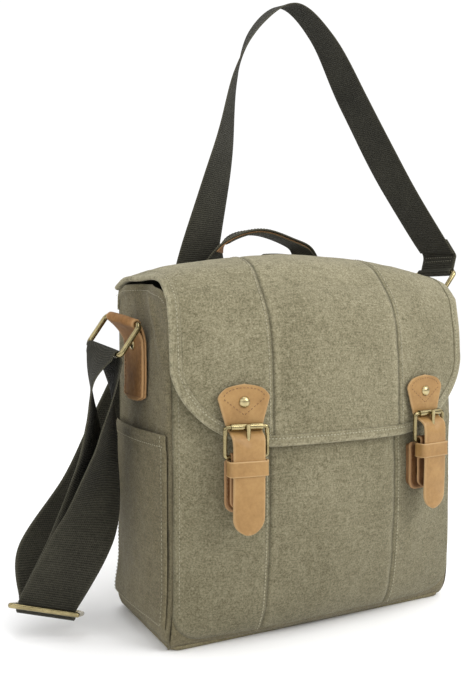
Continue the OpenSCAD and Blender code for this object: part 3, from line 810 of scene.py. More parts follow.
# ------------------------------------------------------------------ mouth hem, lining, divider
def wall_ring(name, half_x, y0, y1, z0, z1, thickness, material, seed, rumpling, levels,
              front_shift=lambda z: 0):
    """closed wall round the inside of the bag; front_shift(z) moves its front half in y"""
    spacing = 7
    corners = rounded_rectangle(-half_x, y0, half_x, y1, radius=10, steps=8)
    outline = []
    for a, b in zip(corners, np.roll(corners, -1, 0)):
        pieces = max(1, int(np.linalg.norm(b - a) / spacing))
        outline += [a + (b - a) * t / pieces for t in range(pieces)]
    outline = np.array(outline)
    count = len(outline)
    normals = outline_normals(outline)
    heights = np.linspace(z0, z1, levels)
    vertices = []
    for offset, order in ((0.0, heights), (-thickness, heights[::-1])):
        for z in order:
            for (x, y), normal in zip(outline + normals * offset, normals):
                if y < 0:
                    y = y + front_shift(z) * min(1.0, -y / 30)
                push = rumpling * noise.noise(Vector((x / 33, y / 33 + seed, z / 33)))
                vertices.append((x + normal[0] * push, y + normal[1] * push, z))
    starts = [k * count for k in range(2 * levels)] + [0]
    faces = []
    for a, b in zip(starts[:-1], starts[1:]):
        faces += ring_faces(a, b, count, across=True)
    uvs = [(i % count * float(spacing), v[2]) for i, v in enumerate(vertices)]
    worn = [0.8 if v[2] > z1 - 1.5 else 0 for v in vertices]
    return put(name, vertices, faces, material, uvs, wear=worn)


def divider():
    half, low, high = 139, 9.5, 229.5
    x, z = lattice(np.linspace(-half, half, 60), np.linspace(low, high, 50))
    from_edge = np.minimum(half - np.abs(x), np.minimum(z - low, high - z))
    quilting = 0.45 * np.sin(x / 9.0) * np.sin(z / 9.0) * smooth(2, 10, from_edge)
    fix(sheet("divider_cloth", xyz(x, 19.5, z), 2.3, -2.3, LINING, swell=quilting,
              roll=(1.2, 5)), "divider")


fix(wall_ring("mouth_hem_cloth", half_x=145.0, y0=-60.0, y1=60.0, z0=289.0, z1=297.5,
              thickness=2.4, material=CANVAS, seed=4, rumpling=0.25, levels=7), "mouth_hem")
fix(wall_ring("lining_walls", half_x=142.0, y0=-52.0, y1=59.0, z0=5.0, z1=292.0, thickness=1.0,
              material=LINING, seed=9, rumpling=1.6, levels=30,
              front_shift=lambda z: (9 * max(0, 1 - z / 60)
                                     - 4 * math.sin(math.pi * z / BODY_HEIGHT))), "lining")
fix(cut_piece("lining_floor", rounded_rectangle(-141, -42, 141, 58, radius=10), 4.2, 5.4, LINING))
divider()

# ------------------------------------------------------------------ flap
# The flap is laid out by x and a station t: 0..5 from the back over the top, 5..10 down the
# front to the lower edge.
FLAP_HALF = 152.0
TOP_END, FLAP_END = 5.0, 10.0
# y, z of the top at the middle and near the ends, one row per station
TOP_MIDDLE = [[62, 303], [40, 318], [10, 331], [-22, 337], [-51, 328], [-70, 307]]
TOP_EDGE = [[62, 307.5], [40, 315], [10, 319], [-22, 319.5], [-51, 312.5], [-68, 296]]
# section of the binding tape: inset from the flap's edge, height over its face
TAPE_PROFILE = [
    (9.6, 0.15), (9.4, 0.75), (8.8, 1.05), (7.4, 1.0), (6.6, 0.82), (5.6, 1.1), (3.0, 1.25),
    (1.0, 1.1), (0.1, 0.45), (-0.55, -0.8), (-0.45, -2.0), (0.3, -3.1), (1.5, -3.7),
    (4.0, -3.75), (7.0, -3.7), (8.6, -3.6), (9.0, -3.2)]
TAPE_SEAM = 4           # profile row that carries the stitches


def end_share(x):
    return (x / HALF_WIDTH) ** 2


def crest_z(x):
    """height at which the flap turns down over the front"""
    return 307 - 11 * end_share(x)


def flap_top(x, t):
    share = end_share(x)[..., None]
    section = spline(TOP_MIDDLE, t) * (1 - share) + spline(TOP_EDGE, t) * share
    return xyz(x, section[..., 0], section[..., 1])


def flap_front(x, z):
    share = end_share(x)
    fall = 1 - np.exp(-(crest_z(x) - z) / 26)
    return xyz(x, -(70 - 2 * share) - (26 - 18 * share) * fall, z)


def flap_point(x, t):
    corner = np.clip((np.abs(x) - 60) / 93, 0, 1)
    lower_edge = 172 + 76 * (1 - np.sqrt(np.clip(1 - corner ** 2, 0, 1)))
    share = np.clip((t - TOP_END) / (FLAP_END - TOP_END), 0, 1)
    front = flap_front(x, crest_z(x) + (lower_edge - crest_z(x)) * share)
    return np.where((t <= TOP_END)[..., None], flap_top(x, np.minimum(t, TOP_END)), front)


def flap_swell(points):
    x, y, z = points[..., 0], points[..., 1], points[..., 2]
    run = z - y * 0.7
    swell = 1.0 * rumple(x, run, 70, seed=41) + 0.45 * rumple(x, run, 26, seed=44)
    # soft diagonal folds near both ends and a sag right of the middle
    left_fold = bell((x + 118) * 0.75 + (z - 268) * 0.66, 9) * bell(z - 266, 26)
    right_fold = bell((x - 112) * 0.75 - (z - 262) * 0.66, 9) * bell(z - 262, 26)
    swell += 1.3 * left_fold * (x < -60) + 1.0 * right_fold * (x > 60)
    swell -= 1.3 * bell(x - 20, 34) * bell(z - 262, 16)
    # the side edges curl down over the gussets
    curl = bell(FLAP_HALF - np.abs(x), 7.5) * bell(y + 6, 36)
    return swell - 5.2 * curl * smooth(285, 305, z)


def flap_seam_x(t):
    return 58 + 8 * np.minimum(t, TOP_END) / TOP_END


def flap_panel(name, side_name, columns, edges, first=0.0, last=FLAP_END, lining=False):
    """edges(seam_x) gives the panel's left and right x"""
    stations = np.r_[np.linspace(first, TOP_END, 46)[:-1], np.linspace(TOP_END, last, 60)]
    across, t = lattice(np.linspace(0, 1, columns), stations)
    seam_x = flap_seam_x(t)
    left, right = edges(seam_x)
    x = left + (right - left) * across
    grid = flap_point(x, t)
    swell = flap_swell(grid)
    looks = {}
    if not lining:
        y, z = grid[..., 1], grid[..., 2]
        from_seam = np.abs(np.abs(x) - seam_x)
        swell = swell + 0.25 * np.cos((z - y) / 4.4) * bell(from_seam, 5)
        # painted shade along the seams
        looks = dict(roll=(1.2, 2.0), painted_shade=bell(from_seam, 1.0),
                     worn=np.maximum(0.85 * bell(from_seam - 4.0, 2.6),
                                     0.5 * bell(z - 322, 16) * (y < 0)))
    outer, inner = (-1.95, -3.1) if lining else (0.0, -1.8)
    piece = sheet(name, grid, outer, inner, LINING if lining else CANVAS, flip=True,
                  swell=swell, wear_width=1.6, wear=0.3, **looks)
    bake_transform(piece)
    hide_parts("flap_top_" + side_name, "flap_front_" + side_name)


def flap_stitches():
    t = np.r_[np.linspace(0.1, 5, 90), np.linspace(5.02, 9.7, 90)]
    for side, _ in SIDES:
        x = side * (flap_seam_x(t) + 3.6)
        points = flap_point(x, t)
        normals = unit(np.cross(flap_point(x + 1, t) - points, np.gradient(points, axis=0)))
        normals *= np.sign(normals[:, 2:3] - normals[:, 1:2])
        seam("flap", points + normals * (0.15 + flap_swell(points))[:, None], normals,
             radius=0.5, pitch=3.2)


def flap_binding():
    """folded tape round the flap's edge, from the back up the left side and round to the right"""
    side_t = np.r_[np.linspace(0.05, 5, 40), 5 + 5 * np.linspace(0.03, 1, 26)[:-1]]
    count = len(side_t)
    x = np.r_[np.full(count, -FLAP_HALF), -FLAP_HALF * np.cos(np.linspace(0, math.pi, 120)),
              np.full(count, FLAP_HALF)]
    t = np.r_[side_t, np.full(120, FLAP_END), side_t[::-1]]
    edge = flap_point(x, t)
    # drop repeated points
    keep = np.r_[True, np.linalg.norm(np.diff(edge, axis=0), axis=1) > 0.4]
    x, t, edge = x[keep], t[keep], edge[keep]

    step_x, step_t = 0.6, 0.05
    inner_t = np.clip(t, 0.1, 9.9)
    along_x = flap_point(x + step_x, t) - flap_point(x - step_x, t)
    along_t = flap_point(x, inner_t + step_t) - flap_point(x, inner_t - step_t)
    normals = unit(np.cross(along_x, along_t))
    normals *= np.sign(normals[:, 2] - normals[:, 1])[:, None]
    inwards = np.cross(normals, unit(np.gradient(edge, axis=0)))
    flap_centre = np.array([0, -60.0, 290.0])
    inwards *= np.sign(((flap_centre - edge) * inwards).sum(1))[:, None]
    # even out the directions round the corners
    for _ in range(6):
        for directions in (inwards, normals):
            relax(directions, 1, -1, side=0.25)
            directions[:] = unit(directions)

    edge_swell = flap_swell(edge)
    rows = []
    for inset, height in TAPE_PROFILE:
        inner = edge + inwards * max(inset, 0)
        # follow the flap's own face under each point
        on_front = (inner[:, 2] < crest_z(inner[:, 0])) & (inner[:, 1] < -55)
        on_top = np.where((t <= TOP_END)[:, None], flap_point(inner[:, 0], t), inner)
        face = np.where(on_front[:, None], flap_front(inner[:, 0], inner[:, 2]), on_top)
        swell = edge_swell if inset < 0.4 else flap_swell(face)
        if inset < 0:
            face = edge + inwards * inset
        rows.append(face + normals * (height + swell)[:, None])
    grid = np.stack(rows, 1)
    count, size = grid.shape[:2]
    faces = []
    for i in range(count - 1):
        faces += ring_faces(i * size, (i + 1) * size, size)
    faces.append(tuple(range(size)))
    faces.append(tuple((count - 1) * size + k for k in reversed(range(size))))
    insets = [inset for inset, _ in TAPE_PROFILE]
    worn = [0.9 if abs(a - 0.3) < 1.0 or a > 9 else 0.15 for a in insets]
    # painted shade where the tape meets the flap and in the groove of its profile
    painted_shade = [0.75 if abs(a - 9.6) < 0.3 else 0.35 if abs(a - 6.6) < 0.2 else 0 for a in insets]
    uvs = [(length, inset) for length in arc(edge) for inset in insets]
    piece = put("flap_binding_tape", grid.reshape(-1, 3), faces, BINDING, uvs,
                wear=worn * count, painted_shade=painted_shade * count)
    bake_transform(piece)
    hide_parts("flap_top_binding", "flap_front_binding")
    seam("flap_l", grid[:, TAPE_SEAM] + normals * 0.1, normals, radius=0.47, pitch=3.3)


def flap_back_strip():
    """short strip of cloth that joins the flap to the back panel"""
    x, up = lattice(np.linspace(-148, 148, 70), np.linspace(0, 1, 12))
    share = end_share(x)
    y = np.where(up < 0.5, 65.6 - 1.2 * (up / 0.5) ** 3, 64.4 - (up - 0.5) * 9)
    z = np.where(up < 0.5, 286 + up / 0.5 * 14,
                 300 + (up - 0.5) * (13 + 10 * share) - 2 * share)
    z = np.minimum(z, 306 + 5 * share)
    piece = sheet("flap_back_seam_strip", xyz(x, y, z), 0.6, -0.6, CANVAS, flip=True,
                  swell=0.3 * rumple(x, z, 30, seed=77))
    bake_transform(piece)


flap_panel("flap_left_cloth", "left", 44, lambda seam_x: (-FLAP_HALF, -seam_x - 0.1))
flap_panel("flap_center_cloth", "center", 56, lambda seam_x: (-seam_x + 0.1, seam_x - 0.1))
flap_panel("flap_right_cloth", "right", 44, lambda seam_x: (seam_x + 0.1, FLAP_HALF))
flap_panel("flap_lining_cloth", "lining", 60, lambda seam_x: (-FLAP_HALF + 3, FLAP_HALF - 3),
           first=0.1, last=9.75, lining=True)
flap_stitches()
flap_binding()
flap_back_strip()


# ------------------------------------------------------------------ strap
def rotation(degrees, axis):
    return np.array(Matrix.Rotation(math.radians(degrees), 3, axis))


AXIS_X, AXIS_Y, AXIS_Z = np.eye(3)
SLIDER = np.array([-230.0, 21.0, 24.0])       # middle bar of the slider
SLIDER_YAW, SLIDER_TILT = -28.0, 8.0
TAB_BAR_LEFT = np.array([-166.0, -1.0, 277.0])     # ring bars that the side tabs fold over
TAB_BAR_RIGHT = np.array([166.0, -1.0, 300.0])
RING_REACH = 31.0                             # from a ring's tab bar to its strap bar
SWING_LEFT, SWING_RIGHT = -56.0, 52.0
LEFT_FRAME = rotation(10, "Z") @ rotation(8, "X")
SLIDER_FRAME = rotation(SLIDER_YAW, "Z") @ rotation(SLIDER_TILT, "Y") @ rotation(-19, "X")
STRAP_BAR_LEFT = TAB_BAR_LEFT + LEFT_FRAME @ (rotation(SWING_LEFT, "Y") @ (-RING_REACH * AXIS_X))
STRAP_BAR_RIGHT = TAB_BAR_RIGHT + rotation(-SWING_RIGHT, "Y") @ (RING_REACH * AXIS_X)
STRAND_X, STRAND_Y, STRAND_Z = TAB_BAR_LEFT + (-17.4, -1.5, -25.6)   # strands near the left bar

# Runs of webbing: x, y, z of the centre line, then azimuth and elevation (degrees) of its
# width direction
ARCH_RUN = [
    [-58, 91, 316, 12, 0], [-47, 93, 356, 16, 0], [-18, 101, 456, 42, 0], [1, 109, 536, 62, 0],
    [27, 112, 592, 78, 8], [66, 108, 621, 84, 14], [104, 98, 588, 86, 8], [133, 78, 516, 88, -6],
    [160, 40, 425, 90, -4], [188, -2, 342, 92, 4]]
REAR_RUN = [
    [-58, 91, 311, 12, 0], [-84, 92, 275, 6, -3], [-112, 93, 232, 0, -5], [-141, 86, 180, -8, -8],
    [-175, 70, 122, -18, -14], [-224, 47, 66, -26, -14],
    [SLIDER[0] + 2.2, SLIDER[1] + 5.2, SLIDER[2] + 3, SLIDER_YAW, -SLIDER_TILT]]
SEWN_RUN = [
    [STRAND_X - 3.4, STRAND_Y, STRAND_Z - 1, 100, 8], [-195, -2, 228, 78, 2],
    [-194, 1, 193, 64, 5], [-192, 8, 156, 44, 3], [-192, 14, 116, 6, -8],
    [-203, 19, 78, -24, -20], [SLIDER[0], SLIDER[1], SLIDER[2] + 4.4, SLIDER_YAW, -SLIDER_TILT]]
RETURN_RUN = [
    [STRAND_X + 3.4, STRAND_Y, STRAND_Z - 1, 100, 8], [-176, -1, 216, 76, -2],
    [-180, -3.5, 181, 58, -8], [-184, -3, 157, 46, -8], [-193, 1, 110, 10, -15],
    [-207, 1, 80, -16, -22],
    [SLIDER[0] - 2.2, SLIDER[1] - 5.2, SLIDER[2] + 3, SLIDER_YAW, -SLIDER_TILT]]


def follow(run, t):
    """centres and width directions along a run"""
    stations = spline(run, t)
    azimuth, elevation = np.radians(stations[..., 3]), np.radians(stations[..., 4])
    widths = xyz(np.cos(azimuth) * np.cos(elevation), np.sin(azimuth) * np.cos(elevation),
                 np.sin(elevation))
    return stations[..., :3], widths


def webbing(name, path, widths, width=50.0, thickness=1.6, cup=0.5, wave=0.25, seed=1,
            columns=17):
    """ribbed tape with worn edges; cup and wave bend it across its width"""
    across = np.linspace(-1, 1, columns)
    grid = path[:, None] + widths[:, None] * (across[None, :, None] * width / 2)
    normals = unit(np.cross(np.gradient(grid, axis=0), np.gradient(grid, axis=1)))
    length = arc(path)
    bend = cup * (across ** 2 - 0.4) * np.sin(length / 46.0 + seed)[:, None]
    bend = bend + wave * np.sin(length / 17.0 + seed * 2)[:, None] * across ** 3
    bend = bend * smooth(0, 14, np.minimum(length, length[-1] - length))[:, None]
    grid = grid + normals * bend[..., None]
    return sheet(name, grid, thickness / 2, -thickness / 2, WEBBING, roll=(0.28, 1.2),
                 ends=False, wear_width=1.1, wear=0.9, worn=0.5 * bell(1 - np.abs(across), 0.05))


def strap_arch():
    """from behind the flap over to the right ring"""
    path, widths = follow(ARCH_RUN, np.linspace(0, 8.93, 230))
    lead_path, lead_widths = follow(REAR_RUN, np.linspace(0.62, 0.0, 14))
    piece = webbing("strap_arch_webbing", np.concatenate([lead_path, path[2:]]),
                    np.concatenate([lead_widths, widths[2:]]), seed=1)
    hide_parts("strap_arch", "strap_rear_upper")
    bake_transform(piece)


def strap_left():
    """down behind the bag to the slider, back up over the left ring and down to the slider"""
    slider_x, slider_y, slider_z = SLIDER_FRAME.T
    path, widths = follow(REAR_RUN, np.linspace(0.30, 5.93, 150))
    under = turn(SLIDER, slider_y, slider_z, 5.25, np.linspace(-8, -172, 16))
    piece = webbing("strap_rear_webbing", np.concatenate([path, under]),
                    np.concatenate([widths, np.tile(slider_x, (16, 1))]), seed=2, cup=0.4)
    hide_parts("strap_rear_lower")
    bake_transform(piece)

    bar = LEFT_FRAME @ AXIS_Y
    level = unit(np.cross(bar, AXIS_Z))
    bar_turn = turn(STRAP_BAR_LEFT, level, np.cross(level, bar), 3.3, np.linspace(-8, 188, 20))
    up_path, up_widths = follow(RETURN_RUN, np.linspace(5.93, 0.25, 150))
    down_path, down_widths = follow(SEWN_RUN, np.linspace(0.25, 5.9, 150))
    widths = np.concatenate([up_widths, np.tile(bar, (20, 1)), down_widths])
    # even out the joins
    for _ in range(5):
        for join in (len(up_path), len(up_path) + 20):
            relax(widths, join - 10, join + 10)
    piece = webbing("strap_return_webbing", np.concatenate([up_path, bar_turn, down_path]),
                    unit(widths), seed=4, cup=0.35)
    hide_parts("strap_return", "strap_sewn_end")
    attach(piece, "ring_left")

    # sewn loop of the end round the slider's middle bar
    loop = turn(SLIDER, slider_y, slider_z, 3.1, np.linspace(100, 440, 40))
    piece = webbing("strap_end_loop", loop, np.tile(slider_x, (40, 1)), seed=5, cup=0.0,
                    wave=0.0, thickness=1.4)
    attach(piece, "ring_left")


def strap_right_end():
    """round the right ring's bar and up against the arch"""
    radius = 2.0 + 0.35 + 0.8
    loop = turn(STRAP_BAR_RIGHT, AXIS_X, AXIS_Z, radius, np.linspace(-250, 60, 44))
    ply, ply_widths = follow(ARCH_RUN, np.linspace(9.0, 8.72, 12))
    normals = path_normals(ply, ply_widths)
    ply = ply + normals * np.sign(normals[:, :1]) * 1.9
    link = loop[-1] + (ply[0] - loop[-1]) * np.linspace(0.1, 0.92, 14)[:, None]
    path = np.concatenate([loop, link, ply])
    widths = np.concatenate([np.tile(AXIS_Y, (44 + 14, 1)),
                             ply_widths * np.sign(ply_widths[:, 1:2])])
    for _ in range(6):
        relax(path, 50, -3)
        relax(widths, 45, -3)
    widths = unit(widths)
    piece = webbing("strap_right_end_webbing", path, widths, seed=6, cup=0.1, wave=0.0)
    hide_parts("strap_end_right")
    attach(piece, "ring_right")
    for row in (52, 56):
        line = path[row] + widths[row] * np.linspace(-21, 21, 16)[:, None]
        for out in (AXIS_X, -AXIS_X):
            seam("ring_right", line + out, out, radius=0.4)


strap_arch()
strap_left()
strap_right_end()

# ------------------------------------------------------------------ carry handle, hang loop
HANDLE_LEFT, HANDLE_RIGHT, HANDLE_TOP = -45.0, 69.0, 368.0
HANDLE_FOOT = 303        # height at which the tape leaves the back panel
HANDLE_RUN = [           # same columns as the strap's runs
    [HANDLE_LEFT, 71, HANDLE_FOOT, 0, 0], [HANDLE_LEFT + 1, 71.5, 325, 10, 0],
    [HANDLE_LEFT + 10, 73, 350, 60, 0], [HANDLE_LEFT + 30, 74, HANDLE_TOP - 4, 90, 0],
    [HANDLE_LEFT + 58, 74, HANDLE_TOP, 90, 0], [HANDLE_RIGHT - 24, 74, HANDLE_TOP - 8, 90, 0],
    [HANDLE_RIGHT - 6, 73, 350, 115, 0], [HANDLE_RIGHT, 71.5, 326, 160, 0],
    [HANDLE_RIGHT, 71, HANDLE_FOOT, 180, 0]]


def handle_part(first, last, count):
    """centres, widths and upward normals of part of the handle"""
    path, widths = follow(HANDLE_RUN, np.linspace(first, last, count))
    normals = path_normals(path, widths)
    return path, widths, normals * np.sign(normals[count // 2, 2])


def handle():
    path, widths = follow(HANDLE_RUN, np.linspace(0, 8, 130))
    # sewn feet on the back panel
    drop = np.linspace(-38, -0.6, 18)
    foot_y = 68.6 + 2.4 * smooth(-10, 0, drop)
    left_foot = xyz(HANDLE_LEFT, foot_y, HANDLE_FOOT + drop)
    right_foot = xyz(HANDLE_RIGHT, foot_y, HANDLE_FOOT + drop)[::-1]
    piece = webbing("handle_webbing_tape", np.concatenate([left_foot, path, right_foot]),
                    np.concatenate([np.tile(AXIS_X, (18, 1)), widths, np.tile(-AXIS_X, (18, 1))]),
                    width=27.0, thickness=2.2, seed=3, cup=0.0, wave=0.0)
    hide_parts("handle_webbing", "handle_anchors")
    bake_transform(piece)

    path, widths, normals = handle_part(1.75, 6.25, 90)
    for offset in (-10.2, 10.2):
        seam("handle", path + widths * offset + normals * 1.15, normals, radius=0.42, pitch=3.6)
    grid = np.stack([path + widths * v - normals * 1.9 for v in np.linspace(-11, 11, 9)], 1)
    piece = sheet("handle_leather_strip", grid, 0.75, -0.75, LEATHER_DARK, wear=0.7,
                  wear_width=1.5)
    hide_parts("handle_leather")
    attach(piece, "handle")

    # a second tape under the leather, which leaves leather showing at the grip's left end
    path, widths, normals = handle_part(2.35, 6.3, 80)
    piece = webbing("handle_under_tape", path - normals * 3.5, widths, width=25.0,
                    thickness=1.5, seed=3, cup=0.0, wave=0.0)
    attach(piece, "handle")

    # a stitched box with crossed diagonals on each foot
    left, right, low, high = -10, 10, 268, 292
    route = [(left, low), (right, low), (right, high), (left, high), (left, low), (right, high)]
    lines = list(zip(route[:-1], route[1:])) + [((right, low), (left, high))]
    t = np.linspace(0, 1, 10)
    for centre in (HANDLE_LEFT, HANDLE_RIGHT):
        for (xa, za), (xb, zb) in lines:
            seam("root_w", xyz(centre + xa + (xb - xa) * t, 69.8, za + (zb - za) * t),
                 (0, 1, 0), radius=0.42)


def hang_loop():
    """folded tape standing just above the flap"""
    left, span, foot, rise = 12, 36, 305, 33.6
    t = np.linspace(0, 1, 60)
    over = np.clip((t - 0.3) / 0.4, 0, 1)
    height = np.clip(t / 0.3, 0, 1) - np.clip((t - 0.7) / 0.3, 0, 1)
    path = xyz(left + span * over, 68.6, foot + rise * height + 0.9 * np.sin(math.pi * over))
    relax(path, 1, -1)
    piece = webbing("hang_loop_tape", path, path_normals(path, AXIS_Y), width=9.0,
                    thickness=1.5, cup=0, wave=0, seed=8, columns=7)
    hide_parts("hang_loop")
    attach(piece, "root")


handle()
hang_loop()

# ------------------------------------------------------------------ closures
# Each closure is shaped round its buckle: x across, y towards the bag, z up, then scaled,
# turned and moved into place.
CLOSURE_X, CLOSURE_Z = 95.0, 191.5
CLOSURE_Y = float(front_y(CLOSURE_X, 190)) - 18.2
CLOSURE_YAW, CLOSURE_SCALE = 8.0, 0.93
BILLET_PATH = [          # y, z from the head down to the tip
    [6.3, 36.5], [6.2, 24], [6.0, 10], [5.6, 4], [5.1, -1], [1.2, -4.9], [-4.9, -8.4],
    [-7.5, -13.0], [-8.0, -27], [-7.6, -38], [-7.8, -62], [-7.3, -93]]
BILLET_HALF = [(0, 23.5), (12.5, 23.5), (36, 16.6), (43, 14.8), (60, 14.0)]  # length, half width
BILLET_RIVET = [(1.4, 3.0), (2.8, 2.65), (4.0, 1.95), (4.8, 1.1), (5.1, 0.45), (5.0, 0.05),
                (4.6, -0.2)]      # radius, height
CHAPE_FRONT = [(-0.6, -44.0), (-0.9, -38.0), (-2.6, -31.0)]                  # y, z
CHAPE_BACK = [(2.0, -32.0), (1.2, -40.0), (1.0, -56.0), (1.2, -74.0)]
KEEPER_LOW, KEEPER_HIGH = -42.0, -28.9
PATCH_CORNERS = [(14, -32.5, 3), (-14, -32.5, 3), (-8, -68, 9), (8, -68, 9)]  # x, z, radius


def billet(side_name, place, outward):
    """leather strap sewn to the flap, running down through the buckle"""
    path = spline(BILLET_PATH, np.linspace(0, len(BILLET_PATH) - 1, 400))
    length = arc(path)
    total = length[-1]
    # samples are dense at both ends
    samples = np.r_[total * (1 - np.cos(np.linspace(0, math.pi / 2, 14))) * 0.045,
                    np.linspace(total * 0.05, total * 0.88, 90),
                    total - total * 0.115 * (1 - np.sin(np.linspace(0.05, math.pi / 2, 18)))]
    samples = np.unique(np.clip(samples, 0.02, total - 0.02))
    half = np.interp(samples, *zip(*BILLET_HALF))
    head = np.clip(1 - samples / 9.5, 0, 1)
    half = np.maximum(half - 8.5 * (1 - np.sqrt(np.clip(1 - head ** 2, 0, 1))), 0.25)
    tip = np.clip(1 - (total - samples) / 15.0, 0, 1)
    half = half * np.sqrt(np.clip(1 - tip ** 2.1, 0.0003, 1))
    columns = 25
    across = (0.5 * np.sin(np.linspace(-math.pi / 2, math.pi / 2, columns))
              + 0.5 * np.linspace(-1, 1, columns))
    down = samples[:, None]
    y = np.interp(down, length, path[:, 0])
    z = np.interp(down, length, path[:, 1])
    x = half[:, None] * across
    # the head's top edge is an arc; below, the strap is cupped and softly waved
    arch = np.where(down < 14, -0.011 * x ** 2 * (1 - down / 14), 0)
    cup = -0.6 * (1 - across ** 2) * smooth(52, 60, down)
    wave = 0.4 * np.sin(down / 15.0) * smooth(70, 90, down)
    dent = bell(z + 5.6, 2.4) * bell(x, 3.0)
    swell = 1.5 * bell(z + 11.5, 4.6) * bell(x, 5.5) - 0.8 * dent
    # painted shade in the dent
    piece = sheet("billet_leather_" + side_name, place(xyz(x, y + cup + wave, z + arch)),
                  1.15, -1.15, LEATHER, flip=True, swell=swell, wear=0.9, wear_width=1.0,
                  roll=(0.25, 1.2), painted_shade=0.9 * dent)
    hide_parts("billet_anchor_" + side_name, "billet_tail_" + side_name)
    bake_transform(piece)

    # stitches on the head: an arc near the top and a V
    x = np.linspace(-19.5, 19.5, 24)
    t = np.linspace(0, 1, 12)
    lines = [(x, 33.8 - 0.012 * x ** 2 - 3.4 * (np.abs(x) / 19.5) ** 8)]
    lines += [(side * 19.5 * (1 - t), 24.5 - 14.9 * t) for side, _ in SIDES]
    for x, z in lines:
        y = np.interp(z, path[::-1, 1], path[::-1, 0]) - 1.15
        seam("leather", place(xyz(x, y, z)), outward, pitch=3.1, fill=0.6, lift=0.08)


def billet_rivet(side_name, place):
    piece = rivet("billet_rivet_" + side_name, BILLET_RIVET, 3.1,
                  lambda v: place(xyz(v[:, 0], 5.0 - v[:, 2], 21 + v[:, 1])), turned=True)
    if side_name == "left":
        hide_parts("billet_rivets")
    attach(piece, "flap_front")


def keeper(side_name, place):
    """leather loop round the billet's tail"""
    outline = rounded_rectangle(-18.2, -10.6, 18.2, 3.4, radius=4.2, steps=8)
    normals = outline_normals(outline)
    heights = np.linspace(KEEPER_LOW, KEEPER_HIGH, 12)
    # offset from the outline, z
    levels = list(zip(0.35 * np.abs(np.linspace(-1, 1, 12)) ** 4, heights))
    levels.append((-0.7, KEEPER_HIGH + 0.35))
    levels += [(-1.6, z) for z in heights[::-1]]
    levels.append((-0.7, KEEPER_LOW - 0.35))
    vertices = np.concatenate([xyz(*(outline + normals * offset).T, z) for offset, z in levels])
    count = len(outline)
    faces = []
    for i in range(len(levels)):
        faces += ring_faces(i * count, (i + 1) % len(levels) * count, count, across=True)
    worn = [0.9 if abs(z - KEEPER_LOW) < 0.7 or abs(z - KEEPER_HIGH) < 0.7 else 0
            for z in vertices[:, 2]]
    piece = put("keeper_leather_" + side_name, place(vertices), faces, LEATHER,
                vertices[:, [0, 2]], wear=worn)
    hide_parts("keeper_" + side_name)
    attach(piece, "keeper_" + side_name)


def chape(side_name, place):
    """leather folded over the buckle's lower bar, running down behind the tail"""
    angles = np.radians(np.linspace(200, -20, 26))
    fold = np.stack([3.2 * np.cos(angles), -26 + 3.2 * np.sin(angles)], -1)
    route = np.concatenate([CHAPE_FRONT, fold, CHAPE_BACK])
    length = arc(route)
    samples = np.linspace(0, length[-1], 90)
    path = np.stack([np.interp(samples, length, column) for column in route.T], -1)
    for _ in range(2):
        relax(path, 1, -1)
    end = np.clip(1 - (length[-1] - samples) / 10, 0, 1)
    half = 14.3 * np.sqrt(np.clip(1 - end ** 2.4, 0.001, 1))
    grid = xyz(half[:, None] * np.linspace(-1, 1, 13), path[:, :1], path[:, 1:])
    piece = sheet("chape_leather_" + side_name, place(grid), 0.9, -0.9, LEATHER_DARK, wear=0.9,
                  wear_width=1.0)
    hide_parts("chape_" + side_name)
    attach(piece, "closure_" + side_name)


def base_patch(side_name, place, outward):
    """leather patch below the buckle, with a smaller block between it and the bag"""
    def upright(vertices):
        return place(xyz(vertices[:, 0], -vertices[:, 2], vertices[:, 1]))

    outline = rounded_outline(PATCH_CORNERS, steps=8)
    piece = cut_piece("base_patch_leather_" + side_name, outline, -10.9, -8.6, LEATHER_DARK,
                      rings=6, soft=0.8, wear=0.9, wear_width=1.4, place=upright)
    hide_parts("base_patch_" + side_name)
    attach(piece, "root")
    middle = np.array([0, -54.7])
    outline = middle + (outline - middle) * (0.86, 0.9)
    piece = cut_piece("base_patch_pad_" + side_name, outline, -17.5, -10.7, LEATHER_DARK,
                      rings=3, soft=0.5, wear=0.3, place=upright)
    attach(piece, "root")
    x, z = np.concatenate([outline, outline[:1]]).T
    seam("root_l", place(xyz(x, 8.5, z)), outward, radius=0.4)


def closure(side, side_name):
    turned = rotation(CLOSURE_YAW * side, "Z")
    origin = np.array([side * CLOSURE_X, CLOSURE_Y, CLOSURE_Z])
    outward = turned @ -AXIS_Y

    def place(vertices):
        return (vertices * CLOSURE_SCALE) @ turned.T + origin

    billet(side_name, place, outward)
    billet_rivet(side_name, place)
    keeper(side_name, place)
    chape(side_name, place)
    base_patch(side_name, place, outward)


for side, side_name in SIDES:
    closure(side, side_name)

# ------------------------------------------------------------------ side tabs
TAB_HALF = 23.0
TAB_RIVET = [(0.28, 0.97), (0.55, 0.84), (0.78, 0.6), (0.93, 0.34), (1.0, 0.12), (0.98, -0.05),
             (0.9, -0.2)]      # shares of the rivet's radius and height
TAB_RIVET_RADIUS, TAB_RIVET_HEIGHT = 4.8, 2.6


